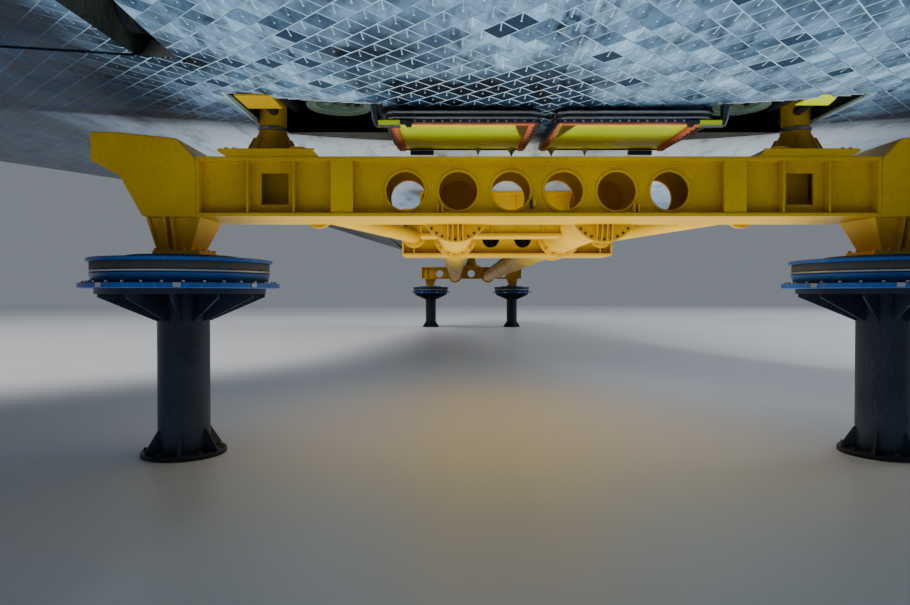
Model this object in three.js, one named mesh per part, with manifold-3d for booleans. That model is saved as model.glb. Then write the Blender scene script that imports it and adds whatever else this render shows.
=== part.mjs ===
// A winged spaceplane orbiter with its gear up, on the yellow steel carrying frame and the four
// floor pedestals that hold it for display. Millimetres, +X starboard, +Y towards the nose, +Z up,
// floor at Z = 0. The orbiter itself is laid out in inches, by station (aft of a datum ahead of the
// nose), butt line (out from the centre plane) and waterline (height), and turned to mm in at().
import * as THREE from "three";
import { mergeVertices } from "three/addons/utils/BufferGeometryUtils.js";
import Module from "manifold-3d";

const wasm = await Module();
wasm.setup();

// Driving dimensions of the orbiter, in inches
const INCH = 25.4;
const NOSE_STATION = 236;
const TAIL_STATION = 1702;
const MIDDLE_STATION = (NOSE_STATION + TAIL_STATION) / 2;
const KEEL = 267; // waterline of the flat belly
const BODY_HALF = 105; // half width of the fuselage
const BODY_AXIS = 400; // waterline of the load bay's centre
const CROWN = 505;
const NOSE_CAP_END = 258;
const CABIN_END = 576; // bulkhead between the forward and the mid fuselage
const BAY_END = 1307; // bulkhead between the mid and the aft fuselage
const BASE_STATION = 1520; // base heat shield
const ATTACH_STATION = 1317; // aft pair of fittings that carry the orbiter
const FRONT_ATTACH_STATION = 388;
const ATTACH_SIDE = 96.5;
const HINGE_STATION = 1387; // elevon hinge line
const WING_TIP = 468;
const WING_KINK = 199;
const ELEVON_ROOT = 117;
const ELEVON_SPLIT = 312;
const SKIN_GAP = 0.3 / INCH; // between pieces that rest on each other

// Driving dimensions of the stand, in mm
const BELLY_HEIGHT = 2980; // belly above the floor
const BEAM_TOP = 2720;
const BEAM_BOTTOM = 2190;
const BEAM_DEPTH = 700; // along the orbiter
const BEAM_HALF = 3040;
const END_HALF = 3980;
const PEDESTAL_SIDE = 3300;
const FRONT_PEDESTAL_SIDE = 1850;
const ISOLATOR_TOP = 1850;
const ISOLATOR_BOTTOM = 1550;
const GAP = 0.3;

const stationY = (station) => (MIDDLE_STATION - station) * INCH;
const waterZ = (waterline) => BELLY_HEIGHT + (waterline - KEEL) * INCH;
const at = (station, side, waterline) => new THREE.Vector3(side * INCH, stationY(station), waterZ(waterline));
const ATTACH_Y = stationY(ATTACH_STATION);
const FRONT_Y = stationY(FRONT_ATTACH_STATION);
const radians = THREE.MathUtils.degToRad;

// Colours and finishes of the materials
const FINISH = {
  white: { color: 0xe4e4e0, roughness: 0.7, metalness: 0 },
  black: { color: 0x24272b, roughness: 0.6, metalness: 0 },
  carbon: { color: 0x6d6d6b, roughness: 0.6, metalness: 0 },
  glass: { color: 0x10151c, roughness: 0.1, metalness: 0 },
  alloy: { color: 0xb4b0a6, roughness: 0.4, metalness: 0.8 },
  primer: { color: 0xb4c22a, roughness: 0.6, metalness: 0 },
  yellow: { color: 0xd9a514, roughness: 0.45, metalness: 0.1 },
  blue: { color: 0x14508c, roughness: 0.45, metalness: 0.2 },
  column: { color: 0x1b1d22, roughness: 0.6, metalness: 0.2 },
};

const model = new THREE.Group();

// Solids and booleans

function toSolid(geometry) {
  const bare = new THREE.BufferGeometry().setAttribute("position", geometry.getAttribute("position"));
  bare.setIndex(geometry.getIndex());
  const merged = mergeVertices(bare, 1e-3);
  const solid = new wasm.Manifold(
    new wasm.Mesh({
      numProp: 3,
      vertProperties: merged.attributes.position.array,
      triVerts: new Uint32Array(merged.index.array),
    }),
  );
  return solid;
}

function toGeometry(solid) {
  const mesh = solid.getMesh();
  const points = new Float32Array(mesh.numVert * 3);
  for (let i = 0; i < mesh.numVert; i++) {
    points.set(mesh.vertProperties.subarray(i * mesh.numProp, i * mesh.numProp + 3), i * 3);
  }
  const geometry = new THREE.BufferGeometry();
  geometry.setAttribute("position", new THREE.BufferAttribute(points, 3));
  geometry.setIndex(new THREE.BufferAttribute(mesh.triVerts, 1));
  return geometry;
}

const join = (...solids) => solids.reduce((sum, solid) => sum.add(solid));
const cut = (solid, ...tools) => tools.reduce((left, tool) => left.subtract(tool), solid);
const mirror = (solid) => solid.mirror([1, 0, 0]);

function piece(name, solid, finish) {
  const mesh = new THREE.Mesh(toGeometry(solid), new THREE.MeshStandardMaterial(FINISH[finish]));
  mesh.name = name;
  model.add(mesh);
}

// A closed solid through rings of points, all with the same count, with flat ends.
function loft(rings) {
  const count = rings[0].length;
  const points = rings.flat();
  const faces = [];
  for (let r = 0; r + 1 < rings.length; r++) {
    for (let i = 0; i < count; i++) {
      const a = r * count + i;
      const b = r * count + ((i + 1) % count);
      const across = points[a].distanceTo(points[b + count]);
      const back = points[b].distanceTo(points[a + count]);
      if (across <= back) faces.push(a, b, b + count, a, b + count, a + count);
      else faces.push(a, b, a + count, b, b + count, a + count);
    }
  }
  const cap = (ring, start, ringOrder) => {
    const normal = new THREE.Vector3();
    ring.forEach((p, i) => normal.add(new THREE.Vector3().crossVectors(p, ring[(i + 1) % count])));
    const drop = ["x", "y", "z"].sort((u, v) => Math.abs(normal[v]) - Math.abs(normal[u]))[0];
    const flat = ring.map((p) => new THREE.Vector2(drop === "x" ? p.y : p.x, drop === "z" ? p.y : p.z));
    const triangles = THREE.ShapeUtils.triangulateShape(flat, []);
    const area = triangles.reduce((sum, face) => sum + THREE.ShapeUtils.area(face.map((i) => flat[i])), 0);
    const sameOrder = area > 0 === THREE.ShapeUtils.area(flat) > 0;
    for (const [a, b, c] of triangles) {
      const [p, q] = sameOrder === ringOrder ? [b, c] : [c, b];
      faces.push(start + a, start + p, start + q);
    }
  };
  cap(rings[0], 0, false);
  cap(rings[rings.length - 1], (rings.length - 1) * count, true);
  let volume = 0;
  for (let i = 0; i < faces.length; i += 3) {
    const [a, b, c] = [points[faces[i]], points[faces[i + 1]], points[faces[i + 2]]];
    volume += a.dot(new THREE.Vector3().crossVectors(b, c));
  }
  if (volume < 0) faces.reverse();
  const geometry = new THREE.BufferGeometry().setFromPoints(points);
  geometry.setIndex(faces);
  return toSolid(geometry);
}

function box(x0, x1, y0, y1, z0, z1) {
  const geometry = new THREE.BoxGeometry(x1 - x0, y1 - y0, z1 - z0);
  geometry.translate((x0 + x1) / 2, (y0 + y1) / 2, (z0 + z1) / 2);
  return toSolid(geometry);
}

// A box by station, side and waterline, in inches.
const bodyBox = (s0, s1, b0, b1, w0, w1) =>
  box(b0 * INCH, b1 * INCH, stationY(s1), stationY(s0), waterZ(w0), waterZ(w1));

// A cylinder or cone between two points, with its radius at each.
function rod(from, to, r0, r1 = r0, sides = 12) {
  const axis = new THREE.Vector3().subVectors(to, from);
  const geometry = new THREE.CylinderGeometry(r1, r0, axis.length(), sides);
  const turn = new THREE.Quaternion().setFromUnitVectors(
    new THREE.Vector3(0, 1, 0),
    axis.clone().normalize(),
  );
  geometry.applyQuaternion(turn);
  const middle = new THREE.Vector3().addVectors(from, to).multiplyScalar(0.5);
  geometry.translate(middle.x, middle.y, middle.z);
  return toSolid(geometry);
}

// LatheGeometry leaves faces with no area where its profile meets the axis: they go, and it faces out.
function toSolidClean(geometry) {
  const bare = new THREE.BufferGeometry().setAttribute("position", geometry.getAttribute("position"));
  bare.setIndex(geometry.getIndex());
  const merged = mergeVertices(bare, 1e-2);
  const index = [];
  for (let i = 0; i < merged.index.count; i += 3) {
    const face = [0, 1, 2].map((k) => merged.index.getX(i + k));
    if (new Set(face).size === 3) index.push(...face);
  }
  const point = (i) => new THREE.Vector3().fromBufferAttribute(merged.attributes.position, i);
  let volume = 0;
  for (let i = 0; i < index.length; i += 3) {
    volume += point(index[i]).dot(point(index[i + 1]).cross(point(index[i + 2])));
  }
  if (volume < 0) index.reverse();
  merged.setIndex(index);
  return toSolid(merged);
}

// A flat outline pushed along one axis: outline is a list of [u, v] in the plane across that axis.
function slab(outline, axis, from, to, holes = []) {
  const shape = new THREE.Shape(outline.map(([u, v]) => new THREE.Vector2(u, v)));
  for (const [u, v, r] of holes) {
    shape.holes.push(new THREE.Path().absarc(u, v, r, 0, 2 * Math.PI, true));
  }
  const geometry = new THREE.ExtrudeGeometry(shape, { depth: to - from, bevelEnabled: false, curveSegments: 12 });
  if (axis === "y") {
    geometry.rotateX(Math.PI / 2);
    geometry.translate(0, to, 0);
  } else if (axis === "x") {
    geometry.rotateX(Math.PI / 2);
    geometry.rotateZ(Math.PI / 2);
    geometry.translate(from, 0, 0);
  } else {
    geometry.translate(0, 0, from);
  }
  return toSolid(geometry);
}

// Fuselage. Each row is a section: station, half width, keel, waterline of greatest width, crown,
// round (share of the lower quarter taken up by its rounded corner), full (2 is an ellipse above).
const COLUMNS = ["station", "half", "keel", "wide", "crown", "round", "full"];
const table = (rows) => rows.map((row) => Object.fromEntries(COLUMNS.map((name, i) => [name, row[i]])));
const NOSE = table([
  [236, 3, 335, 338, 341, 0.97, 2],
  [237.5, 12, 326, 338, 350, 0.97, 2],
  [242, 21, 317, 338, 359, 0.97, 2],
  [249, 29.5, 309, 338.5, 368, 0.97, 2],
  [NOSE_CAP_END, 37, 302.5, 339, 377, 0.97, 2],
]);
const FORWARD = table([
  [NOSE_CAP_END, 37, 302.5, 339, 377, 0.97, 2],
  [275, 47.5, 295.5, 341, 391, 0.95, 2],
  [300, 59, 289.5, 345, 407, 0.9, 2],
  [340, 73, 283, 351, 427, 0.8, 2],
  [380, 84, 278.5, 358, 443, 0.7, 2.05],
  [428, 93, 274.5, 368, 460, 0.58, 2.1],
  [450, 96.5, 273.5, 374, 481, 0.52, 2.15],
  [470, 99, 272.5, 380, 498, 0.46, 2.15],
  [484, 100.5, 272, 385, 505, 0.42, 2.15],
  [520, 103, 270.5, 393, 507, 0.32, 2.1],
  [CABIN_END, BODY_HALF, 269, BODY_AXIS, CROWN, 0.2, 2],
]);
const MIDDLE = table([
  [CABIN_END, BODY_HALF, 269, BODY_AXIS, CROWN, 0.2, 2],
  [720, BODY_HALF, 267.5, BODY_AXIS, CROWN, 0.06, 2],
  [BAY_END, BODY_HALF, KEEL, BODY_AXIS, CROWN, 0.02, 2],
]);
const AFT = table([
  [BAY_END, BODY_HALF, KEEL, BODY_AXIS, CROWN, 0.02, 2],
  [1400, 105.5, 267.5, BODY_AXIS, 504, 0.03, 2],
  [1460, 108.5, 272, BODY_AXIS, 502, 0.08, 2.05],
  [BASE_STATION, 113, 279, BODY_AXIS, 498, 0.12, 2.1],
]);
const EDGE_RISE = 4.5; // the belly's edges stand this much above its middle
const SIDE_STEPS = 4;
const TOP_STEPS = 7;

function bodyRing(section, grow = 0) {
  const { station, full, round } = section;
  const half = section.half + grow;
  const keel = section.keel - grow;
  const crown = section.crown + grow;
  const wide = section.wide;
  const rise = EDGE_RISE * (1 - round);
  const rx = half * round;
  const rz = (wide - keel - rise) * round;
  const right = [[(half - rx) * 0.6, keel + 0.05]];
  for (let i = 0; i <= SIDE_STEPS; i++) {
    const turn = (Math.PI / 2) * (i / SIDE_STEPS);
    right.push([half - rx + rx * Math.sin(turn), keel + rise + rz - rz * Math.cos(turn)]);
  }
  right.push([half, wide]);
  for (let i = 1; i < TOP_STEPS; i++) {
    const turn = (Math.PI / 2) * (i / TOP_STEPS);
    right.push([half * Math.cos(turn) ** (2 / full), wide + (crown - wide) * Math.sin(turn) ** (2 / full)]);
  }
  const left = right.map(([b, w]) => [-b, w]).reverse();
  return [[0, keel], ...right, [0, crown], ...left].map(([b, w]) => at(station, b, w));
}

const body = (sections, grow = 0) => loft(sections.map((section) => bodyRing(section, grow)));

// The whole fuselage a little proud, to cut what rests on it.
const hull = body([...FORWARD.slice(3), ...MIDDLE.slice(1), ...AFT.slice(1)], SKIN_GAP);

// Hinge knuckles under the skin's edge: axis gives a point on the hinge line at a station. Each knuckle
// has a leaf, which is a list of boxes of [side from, side to, waterline from, waterline to].
const KNUCKLE = 4;
function knuckles(axis, stations, radius, leaf, step) {
  return stations.flatMap((station) => {
    const from = station + (step > 0 ? SKIN_GAP : -KNUCKLE);
    const to = station + (step > 0 ? KNUCKLE : 0);
    const boxes = leaf(axis(station)).map(([b0, b1, w0, w1]) => bodyBox(from + 0.1, to - 0.1, b0, b1, w0, w1));
    const ends = [from, to].map((s) => at(s, axis(s).side, axis(s).water));
    return [rod(...ends, radius * INCH, undefined, 8), ...boxes];
  });
}

// Wing. The lower face is flat with dihedral and turns up to the leading edge, the upper face is a thin
// glove plus the main aerofoil.
const DIHEDRAL = Math.tan(radians(3.5));
const TRAILING_SWEEP = Math.tan(radians(10.056));
const WING_ROOT = 97; // inside the fuselage's side, which then cuts it
const LEADING_EDGE = [
  [WING_ROOT, 455],
  [106, 512],
  [140, 715],
  [180, 950],
  [WING_KINK, 1028],
  [225, 1069],
  [ELEVON_SPLIT, 1156],
  [446, 1290],
  [WING_TIP - 6, 1312],
  [WING_TIP, 1342],
];
// How high the leading edge stands above the flat of the lower face, and how far aft the turn-up reaches.
const TURN_UP = [
  [WING_ROOT, 12, 180],
  [140, 11, 180],
  [180, 11, 170],
  [WING_KINK, 13, 135],
  [225, 17, 110],
  [ELEVON_SPLIT, 16.4, 93],
  [446, 8.1, 46],
  [WING_TIP - 6, 5, 36],
  [WING_TIP, 2.5, 25],
];
const wingFloor = (side) => 271.8 + (side - BODY_HALF) * DIHEDRAL;
const trailingStation = (side) => 1505 - (side - BODY_HALF) * TRAILING_SWEEP;
const mainLeading = (side) => (side > 446 ? leadingAt(side) : 1043 + side - WING_KINK);

// Thickness of a symmetrical aerofoil, 1 at its thickest, at a share s of its chord.
function aerofoil(s) {
  if (s <= 0 || s >= 1) return 0;
  return (0.2969 * Math.sqrt(s) - 0.126 * s - 0.3516 * s ** 2 + 0.2843 * s ** 3 - 0.1015 * s ** 4) / 0.1;
}

function turnUp(side) {
  const i = Math.max(1, TURN_UP.findIndex(([b]) => b >= side));
  const [b0, lift0, run0] = TURN_UP[i - 1];
  const [b1, lift1, run1] = TURN_UP[i];
  const share = (side - b0) / (b1 - b0);
  return { lift: lift0 + (lift1 - lift0) * share, run: run0 + (run1 - run0) * share };
}

// Reaches 1, level, at the end of the turn-up.
const fullness = (side, station, leading) =>
  aerofoil(0.3 * Math.min(1, Math.max(0, station - leading) / turnUp(side).run));
const wingUnder = (side, station, leading) =>
  wingFloor(side) + turnUp(side).lift * Math.max(0, 1 - fullness(side, station, leading));

function wingThickness(side, leading, station) {
  const chord = trailingStation(side) - mainLeading(side);
  const main = 0.105 * chord * aerofoil((station - mainLeading(side)) / chord);
  const gloveDepth = Math.max(3, 24 - 0.1 * (side - BODY_HALF));
  const glove = gloveDepth * fullness(side, station, leading) * (station < HINGE_STATION - 80 ? 1 : 0.6);
  return (main ** 6 + glove ** 6) ** (1 / 6);
}

const leadingAt = (side) => {
  const i = LEADING_EDGE.findIndex(([b]) => b >= side);
  if (i <= 0) return LEADING_EDGE[0][1];
  const [b0, s0] = LEADING_EDGE[i - 1];
  const [b1, s1] = LEADING_EDGE[i];
  return s0 + ((s1 - s0) * (side - b0)) / (b1 - b0);
};
// The hinge line is straight, so the elevons' noses are cones about it.
const hingeRadius = (side) => 14.3 - 0.0222 * (side - BODY_HALF);
const hingeWater = (side) => wingFloor(side) + hingeRadius(side);
const COVE_GAP = 0.6;
const UPPER_LIP = radians(39);
const LOWER_LIP = radians(30);
const CHORD_SHARES = [0.006, 0.03, 0.1, 0.25, 0.45, 0.7, 1];
const UNDER_SHARES = [1, 0.6, 0.3, 0.12, 0.03]; // of the turn-up's reach

function wingRing(side) {
  const leading = leadingAt(side);
  const floor = wingFloor(side);
  const radius = hingeRadius(side);
  const centre = hingeWater(side);
  const cove = radius + COVE_GAP;
  const lip = HINGE_STATION - cove * Math.sin(UPPER_LIP);
  const lipDepth = wingThickness(side, leading, HINGE_STATION - 1);
  const match = (2 * radius) / lipDepth; // the upper face meets the elevon's
  const { lift, run } = turnUp(side);
  const ring = [[leading, floor + lift]];
  for (const share of CHORD_SHARES) {
    const station = leading + (lip - leading) * share;
    const blend = 1 + (match - 1) * share ** 3;
    ring.push([station, wingUnder(side, station, leading) + wingThickness(side, leading, station) * blend]);
  }
  for (let i = 0; i <= 5; i++) {
    const turn = UPPER_LIP + ((Math.PI - LOWER_LIP - UPPER_LIP) * i) / 5;
    ring.push([HINGE_STATION - cove * Math.sin(turn), centre + cove * Math.cos(turn)]);
  }
  ring.push([HINGE_STATION - cove * Math.sin(LOWER_LIP), floor]);
  for (const share of UNDER_SHARES) {
    ring.push([leading + run * share, wingUnder(side, leading + run * share, leading) - 0.01]);
  }
  return ring.map(([s, w]) => at(s, side, w));
}

// Hinge brackets of the elevons, on the wing, each a plate round the hinge line.
const BRACKETS = [ELEVON_ROOT - 4, ELEVON_SPLIT, WING_TIP - 4];
const BRACKET_HALF = 1.5;
const STUB_RADIUS = 3;

function bracket(side) {
  const radius = hingeRadius(side) * 0.62;
  const tube = rod(
    at(HINGE_STATION, side - BRACKET_HALF, hingeWater(side - BRACKET_HALF)),
    at(HINGE_STATION, side + BRACKET_HALF, hingeWater(side + BRACKET_HALF)),
    radius * INCH,
  );
  const arm = bodyBox(
    HINGE_STATION - hingeRadius(side) - 9,
    HINGE_STATION - STUB_RADIUS - 0.4,
    side - BRACKET_HALF,
    side + BRACKET_HALF,
    hingeWater(side) - radius * 0.7,
    hingeWater(side) + radius * 0.7,
  );
  return join(tube, arm);
}

const WHEEL_WELL = { front: 1046, back: 1186, inner: 110, outer: 164, roof: 300 };
const wheelAxis = () => ({ side: WHEEL_WELL.outer, water: wingFloor(WHEEL_WELL.outer) - 0.75 });
const WHEEL_KNUCKLES = [1075, 1160];
const wheelLug = ({ side, water }) => [[side, side + 2.5, water - 0.4, water + 2.5]];
const wing = cut(
  join(loft(LEADING_EDGE.map(([side]) => wingRing(side))), ...BRACKETS.map(bracket)),
  hull,
  bodyBox(WHEEL_WELL.front, WHEEL_WELL.back, WHEEL_WELL.inner, WHEEL_WELL.outer, 250, WHEEL_WELL.roof),
);
const hungWing = join(wing, ...knuckles(wheelAxis, WHEEL_KNUCKLES, 0.55, wheelLug, 1));
piece("wing_right", hungWing, "black");
piece("wing_left", mirror(hungWing), "black");

// Elevons, drooped a little as they hang.
const DROOP = Math.tan(radians(3));

function elevonRing(side) {
  const radius = hingeRadius(side);
  const centre = hingeWater(side);
  const floor = wingFloor(side);
  const tail = trailingStation(side);
  const tailWater = floor - (tail - HINGE_STATION) * DROOP * 0.6;
  const ring = [];
  for (let i = 0; i <= 8; i++) {
    const turn = (Math.PI * i) / 8;
    ring.push([HINGE_STATION - radius * Math.sin(turn), centre - radius * Math.cos(turn)]);
  }
  ring.push([HINGE_STATION + (tail - HINGE_STATION) * 0.5, centre + radius * 0.42]);
  ring.push([tail, tailWater + 1.2]);
  ring.push([tail, tailWater]);
  return ring.map(([s, w]) => at(s, side, w));
}

function elevon(inner, outer) {
  const edge = BRACKET_HALF + 0.6;
  const from = inner + edge;
  const to = outer - edge;
  const stub = (side, towards) =>
    rod(
      at(HINGE_STATION, side, hingeWater(side)),
      at(HINGE_STATION, towards, hingeWater(towards)),
      STUB_RADIUS * INCH,
    );
  return join(
    loft([elevonRing(from), elevonRing(to)]),
    stub(from + 1, inner + BRACKET_HALF + SKIN_GAP),
    stub(to - 1, outer - BRACKET_HALF - SKIN_GAP),
  );
}

const innerElevon = elevon(BRACKETS[0], BRACKETS[1]);
const outerElevon = elevon(BRACKETS[1], BRACKETS[2]);
piece("elevon_inner_right", innerElevon, "black");
piece("elevon_outer_right", outerElevon, "black");
piece("elevon_inner_left", mirror(innerElevon), "black");
piece("elevon_outer_left", mirror(outerElevon), "black");

// Nose cap and forward fuselage, with a hollow flight deck and mid deck.
piece("nose_cap", body(NOSE), "carbon");

const cabinRings = (grow, stations) =>
  body(
    FORWARD.filter(({ station }) => station >= stations[0] && station <= stations[1]),
    grow,
  );
const CABIN_WALL = 5;
const cabin = cabinRings(-CABIN_WALL, [428, 520]);
const flightDeck = cabin.intersect(bodyBox(400, 560, -90, 90, 402, 520));
const midDeck = cabin.intersect(bodyBox(400, 560, -96, 96, 292, 396));
// Windows as outlines of [side, station], cut straight down; the port ones are mirrored.
const WINDOWS = [
  [[3, 437], [25, 439.5], [25, 465], [3, 464]],
  [[29, 440], [51, 446], [48, 469], [29, 465.5]],
  [[55, 448], [73, 459], [65, 476], [52, 470.5]],
  [[8, 489], [30, 489], [30, 509], [8, 509]],
];
const windowCut = (outline) =>
  slab(outline.map(([b, s]) => [b * INCH, stationY(s)]), "z", waterZ(420), waterZ(530));
const windowCuts = join(...WINDOWS.flatMap((outline) => [windowCut(outline), mirror(windowCut(outline))]));

// Side hatch, port side, hinged along its lower edge.
const HATCH = { station: 487, water: 352, radius: 20, hinge: 332 };
const hatchPlug = (grow) =>
  rod(
    at(HATCH.station, -110, HATCH.water),
    at(HATCH.station, -80, HATCH.water),
    (HATCH.radius + grow) * INCH,
    undefined,
    32,
  );
// Nose gear doors and well.
const NOSE_WELL = { front: 302, back: 374, half: 19, roof: 318 };
const noseAxis = (station) => ({ side: NOSE_WELL.half, water: 286.8 - (station - 320) * 0.154 });
const NOSE_KNUCKLES = [322, 360];
const noseLugs = knuckles(noseAxis, NOSE_KNUCKLES, 0.5, ({ side, water }) => [[side, side + 2.5, water - 0.4, water + 3]], 1);
const FRONT_FITTING = rod(
  at(FRONT_ATTACH_STATION, 0, 290),
  new THREE.Vector3(0, FRONT_Y, waterZ(274)),
  5 * INCH,
);
const forward = cut(
  body(FORWARD),
  flightDeck,
  midDeck,
  windowCuts,
  hatchPlug(0.5),
  bodyBox(NOSE_WELL.front, NOSE_WELL.back, -NOSE_WELL.half, NOSE_WELL.half, 260, NOSE_WELL.roof),
);
// The hatch hangs from a knuckle pair at its foot.
const hatchAxis = (station) => ({ side: -101.35 - (station - 487) * 0.07, water: HATCH.water - HATCH.radius - 0.7 });
const hatchLug = ({ side, water }) => [[side - 0.1, side + 2.5, water - 0.8, water + 0.2]];
const hatchLugs = knuckles(hatchAxis, [487 + KNUCKLE / 2], 0.6, hatchLug, 1);
piece("forward_fuselage", join(forward, FRONT_FITTING, ...noseLugs, ...noseLugs.map(mirror), ...hatchLugs), "white");

// Window glass, one band inside the windscreen's openings.
const glassBand = cut(
  cabinRings(-CABIN_WALL + 1.2, [428, 520]).intersect(cabinRings(-CABIN_WALL - SKIN_GAP, [428, 520])),
  cabinRings(-CABIN_WALL - 1.2, [428, 520]),
);
piece(
  "window_glass",
  glassBand.intersect(bodyBox(432, 513, -80, 80, 425, 520)),
  "glass",
);

const hatch = body(FORWARD.slice(5, 10), 0).intersect(hatchPlug(0));
const hatchDisc = cut(hatch, cabinRings(-CABIN_WALL, [428, 520]));
const hatchLeaf = ({ side, water }) => [
  [side - 0.3, side + 0.3, water, water + 3.5],
  [side - 0.3, side + 2.4, water + 1.4, water + 3.5],
];
piece("side_hatch", join(hatchDisc, ...knuckles(hatchAxis, [487 + KNUCKLE / 2], 0.6, hatchLeaf, -1)), "white");

// Mid fuselage: an open trough with the load bay inside.
const SILL = 416;
const DOOR_HINGE = { side: 106.1, water: 413 };
const DOOR_KNUCKLES = [640, 940, 1240];
const BAY_RADIUS = 93;
const bay = join(
  rod(at(CABIN_END + 12, 0, BODY_AXIS), at(BAY_END + 1, 0, BODY_AXIS), BAY_RADIUS * INCH, undefined, 24),
  bodyBox(CABIN_END + 12, BAY_END + 1, -BAY_RADIUS, BAY_RADIUS, BODY_AXIS, 520),
);
const trough = cut(body(MIDDLE), bay, bodyBox(CABIN_END - 1, BAY_END + 1, -120, 120, SILL, 520));
const doorAxis = () => DOOR_HINGE;
const sillKnuckles = knuckles(doorAxis, DOOR_KNUCKLES, 0.9, ({ side, water }) => [[103, side, water - 3, water]], 1);
piece("mid_fuselage", join(trough, ...sillKnuckles, ...sillKnuckles.map(mirror)), "white");

// Load bay doors, hinged along the sills.
const DOOR_GAP = 0.4;
function bayDoor() {
  const half = cut(
    body(MIDDLE.slice(0, 1).concat(MIDDLE.slice(2))),
    rod(at(CABIN_END - 1, 0, BODY_AXIS), at(BAY_END + 1, 0, BODY_AXIS), 98 * INCH, undefined, 24),
  );
  return half.intersect(bodyBox(CABIN_END + DOOR_GAP, BAY_END - DOOR_GAP, DOOR_GAP, 120, SILL + DOOR_GAP, 520));
}
const doorLeaf = ({ side, water }) => [
  [105.2, side + 0.7, water - 0.4, water + 6],
  [101.5, side + 0.7, SILL + DOOR_GAP, water + 6],
];
const door = join(bayDoor(), ...knuckles(doorAxis, DOOR_KNUCKLES, 0.85, doorLeaf, -1));
piece("load_bay_door_right", door, "white");
piece("load_bay_door_left", mirror(door), "white");

function bell(profile, centre, axis, scale, sides) {
  const outline = profile.map(([r, d]) => new THREE.Vector2(r * INCH * scale, d * INCH * scale));
  const geometry = new THREE.LatheGeometry([...outline, outline[0]], sides);
  geometry.applyQuaternion(new THREE.Quaternion().setFromUnitVectors(new THREE.Vector3(0, 1, 0), axis));
  geometry.translate(centre.x, centre.y, centre.z);
  return toSolidClean(geometry);
}

// Aft fuselage, with the wells over the carrying points and the engine bays.
const wellAxis = () => ({ side: WELL.inner, water: KEEL - 0.75 });
const WELL_KNUCKLES = [1316, 1348];
const WELL = { front: 1306, back: 1356, inner: 52, outer: 102, depth: 18 };
const ENGINES = [
  { name: "upper", station: 1445, side: 0, water: 443, pitch: 16, yaw: 0 },
  { name: "left", station: 1468, side: -53, water: 342.6, pitch: 10, yaw: -3.5 },
  { name: "right", station: 1468, side: 53, water: 342.6, pitch: 10, yaw: 3.5 },
];
const ENGINE_BAY = 45;
const COLLAR_END = 60.5;
const axisOf = ({ pitch, yaw }) =>
  new THREE.Vector3(
    Math.sin(radians(yaw)),
    -Math.cos(radians(yaw)) * Math.cos(radians(pitch)),
    Math.sin(radians(pitch)),
  ).normalize();

// A two-way gimbal: ears on the fixed side, a cross between, ears on the engine.
const CROSS_REACH = 6;
function cross(centre, scale) {
  const size = scale * INCH;
  const x = new THREE.Vector3(CROSS_REACH * size, 0, 0);
  const z = new THREE.Vector3(0, 0, CROSS_REACH * size);
  return join(
    rod(centre.clone().sub(x), centre.clone().add(x), 2.5 * size, undefined, 8),
    rod(centre.clone().sub(z), centre.clone().add(z), 2.5 * size, undefined, 8),
  );
}

function fixedEars(centre, scale, reach) {
  const size = scale * INCH;
  const inner = CROSS_REACH * size + GAP;
  const ear = (sign) =>
    box(
      Math.min(sign * inner, sign * (inner + 2 * size)) + centre.x,
      Math.max(sign * inner, sign * (inner + 2 * size)) + centre.x,
      centre.y - 4 * size,
      centre.y + reach,
      centre.z - 4 * size,
      centre.z + 4 * size,
    );
  const web = box(
    centre.x - inner - size,
    centre.x + inner + size,
    centre.y + 8 * size,
    centre.y + reach,
    centre.z - 4 * size,
    centre.z + 4 * size,
  );
  return join(ear(1), ear(-1), web);
}

function engineEars(centre, scale) {
  const size = scale * INCH;
  const inner = CROSS_REACH * size + GAP;
  const ear = (sign) =>
    box(
      centre.x - 3.5 * size,
      centre.x + 3.5 * size,
      centre.y - 16 * size,
      centre.y + 4 * size,
      Math.min(sign * inner, sign * (inner + 2 * size)) + centre.z,
      Math.max(sign * inner, sign * (inner + 2 * size)) + centre.z,
    );
  return join(ear(1), ear(-1));
}

const along = (engine, distance) =>
  at(engine.station, engine.side, engine.water).addScaledVector(axisOf(engine), distance * INCH);
const bays = ENGINES.map((engine) =>
  rod(along(engine, -14), along(engine, 130), ENGINE_BAY * INCH, undefined, 16),
);
const collarOf = (engine, grow) =>
  rod(along(engine, 40), along(engine, COLLAR_END), (ENGINE_BAY + 3.5) * INCH + grow, undefined, 16);
const collars = ENGINES.map((engine) => collarOf(engine, 0));
// The base is cut back behind each collar, so that the engine's shield can swing past it.
const reliefs = ENGINES.map((engine) =>
  rod(along(engine, COLLAR_END - 1), along(engine, 130), (ENGINE_BAY + 10) * INCH, undefined, 24),
);
// Fixed dome shields, each part of a sphere about its engine's gimbal so that the engine can swing.
const onSphere = (radius, degrees) => [radius * Math.sin(radians(degrees)), radius * Math.cos(radians(degrees))];
const DOME = [[75, 26], [75, 38], [77.5, 38], [77.5, 26]].map(([r, a]) => onSphere(r, a));
const domes = ENGINES.map((engine) => bell(DOME, along(engine, 0), axisOf(engine), 1, 16));
const thrustEars = ENGINES.map((engine) =>
  fixedEars(at(engine.station, engine.side, engine.water), 1, (engine.station - 1430) * INCH),
);
const wells = [1, -1].map((sign) =>
  bodyBox(
    WELL.front,
    WELL.back,
    Math.min(sign * WELL.inner, sign * WELL.outer),
    Math.max(sign * WELL.inner, sign * WELL.outer),
    KEEL - 6,
    KEEL + WELL.depth,
  ),
);
// Round disconnect plate inside each well.
const PLATE_STATION = 1327;
const plates = [1, -1].map((sign) =>
  rod(
    at(PLATE_STATION, sign * 70, KEEL + 7),
    at(PLATE_STATION, sign * 70, KEEL + WELL.depth + 1),
    12 * INCH,
  ),
);
const wellLugs = knuckles(wellAxis, WELL_KNUCKLES, 0.6, ({ side, water }) => [[side - 1.5, side, water - 0.3, water + 2]], 1);
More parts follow.
